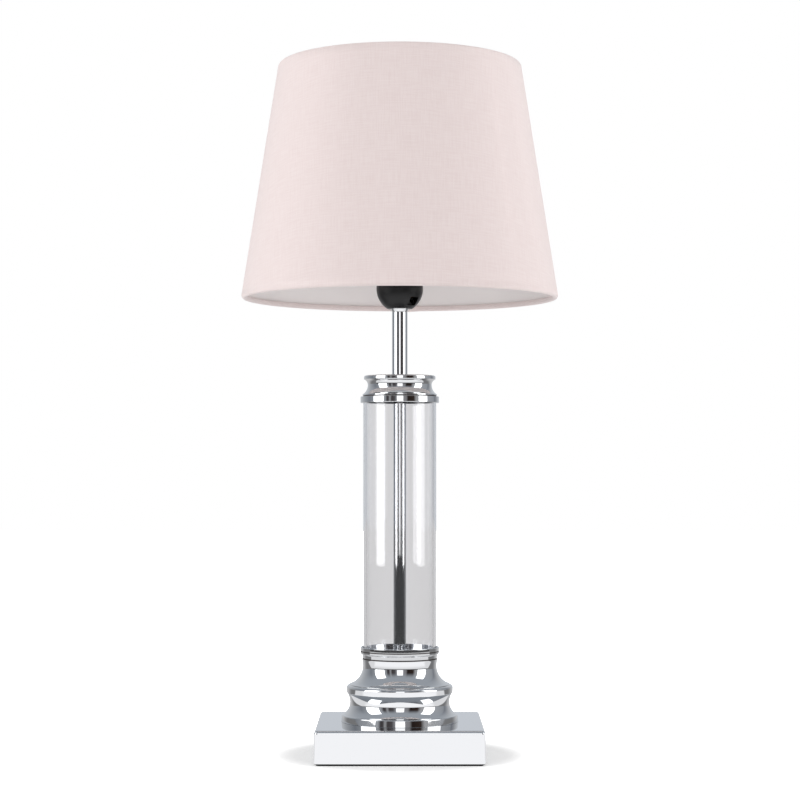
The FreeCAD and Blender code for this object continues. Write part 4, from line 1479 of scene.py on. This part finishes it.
def makeFloor():
    # a pale table: white to the camera but for the lamp's shadow, and falling off to grey
    # away from the lamp where the metal mirrors it
    side = 6.0
    mesh = meshFrom("floor", [(-side, -side, 0), (side, -side, 0), (side, side, 0), (-side, side, 0)],
                    [(0, 1, 2, 3)])
    floor = bpy.data.objects.new("floor", mesh)
    bpy.context.scene.collection.objects.link(floor)
    material = bpy.data.materials.new("paleTable")
    material.use_nodes = True
    tree = material.node_tree
    tree.nodes.clear()
    where = addNode(tree, "TexCoord")
    away = addNode(tree, "VectorMath", "LENGTH", in0=where.outputs["Object"])
    way = addNode(tree, "VectorMath", "NORMALIZE", in0=where.outputs["Object"])
    split = addNode(tree, "SeparateXYZ", Vector=way)
    spread = addNode(tree, "SeparateXYZ", Vector=where.outputs["Object"])
    fade = addNode(tree, "MapRange", {"interpolation_type": "SMOOTHSTEP"}, Value=away,
                   From_Min=studio["tableFade"][0], From_Max=studio["tableFade"][1])
    near = addNode(tree, "MapRange", {"interpolation_type": "SMOOTHSTEP"}, Value=spread.outputs["Y"],
                   From_Min=studio["tableTurn"][0], From_Max=studio["tableTurn"][1],
                   To_Min=studio["tableNear"], To_Max=studio["tableFar"])
    near = addNode(tree, "Mix", {"data_type": "FLOAT"}, in0=fade, in2=near, in3=studio["tableFar"])
    behind = addNode(tree, "MapRange", {"interpolation_type": "SMOOTHSTEP"}, Value=split.outputs["Y"],
                     From_Min=0.5, From_Max=0.9, To_Min=studio["beyondSide"],
                     To_Max=studio["beyondBack"])
    backEdge = addNode(tree, "MapRange", Value=spread.outputs["Y"],
                       From_Min=studio["tableBackEdge"] - 0.01, From_Max=studio["tableBackEdge"] + 0.01)
    frontEdge = addNode(tree, "MapRange", Value=away, From_Min=studio["tableReach"] - 0.03,
                        From_Max=studio["tableReach"] + 0.03)
    front = addNode(tree, "Mix", {"data_type": "FLOAT"}, in0=frontEdge, in2=near,
                    in3=studio["beyondFront"])
    level = addNode(tree, "Mix", {"data_type": "FLOAT"}, in0=backEdge, in2=front, in3=behind)
    # a painted contact shadow: the table goes dark close round the foot, as the foot's bright sides
    # mirror it
    positive = addNode(tree, "VectorMath", "ABSOLUTE", in0=where.outputs["Object"])
    sides = addNode(tree, "SeparateXYZ", Vector=positive)
    outside = addNode(tree, "Math", "MAXIMUM", in0=sides.outputs["X"],
                      in1=sides.outputs["Y"])
    contact = addNode(tree, "MapRange", Value=outside, From_Min=studio["contactShadowEdge"],
                      From_Max=studio["contactShadowEdge"] + 0.004, To_Min=studio["contactShadowLevel"], To_Max=1.0)
    level = addNode(tree, "Math", "MULTIPLY", in0=level, in1=contact)
    keep = addNode(tree, "MapRange", {"interpolation_type": "SMOOTHSTEP"}, Value=away,
                   From_Min=studio["shadowReach"][0], From_Max=studio["shadowReach"][1],
                   To_Min=studio["shadowShare"], To_Max=0.0)
    matt = addNode(tree, "BsdfDiffuse", Color=fromHex("#F2F2F2"))
    white = addNode(tree, "Emission", Color=fromHex("#FFFFFF"), Strength=2.5)
    mirrored = addNode(tree, "Emission", Color=fromHex("#FDFDFF"), Strength=level)
    behindGlass = addNode(tree, "Emission", Color=fromHex("#FEFDFD"), Strength=studio["glassBack"])
    seen = addNode(tree, "MixShader", in0=keep, in1=white, in2=matt)
    shareByRay(tree, "OutputMaterial", seen, matt, mirrored, behindGlass)
    mesh.materials.append(material)


makeCamera()
makeWorld()
for boxName, boxSizes in studio["softboxes"].items():
    makeSoftbox(boxName + "Softbox", **boxSizes)
makeFloor()
bpy.context.scene.view_settings.view_transform = "Standard"
print("studio ready")
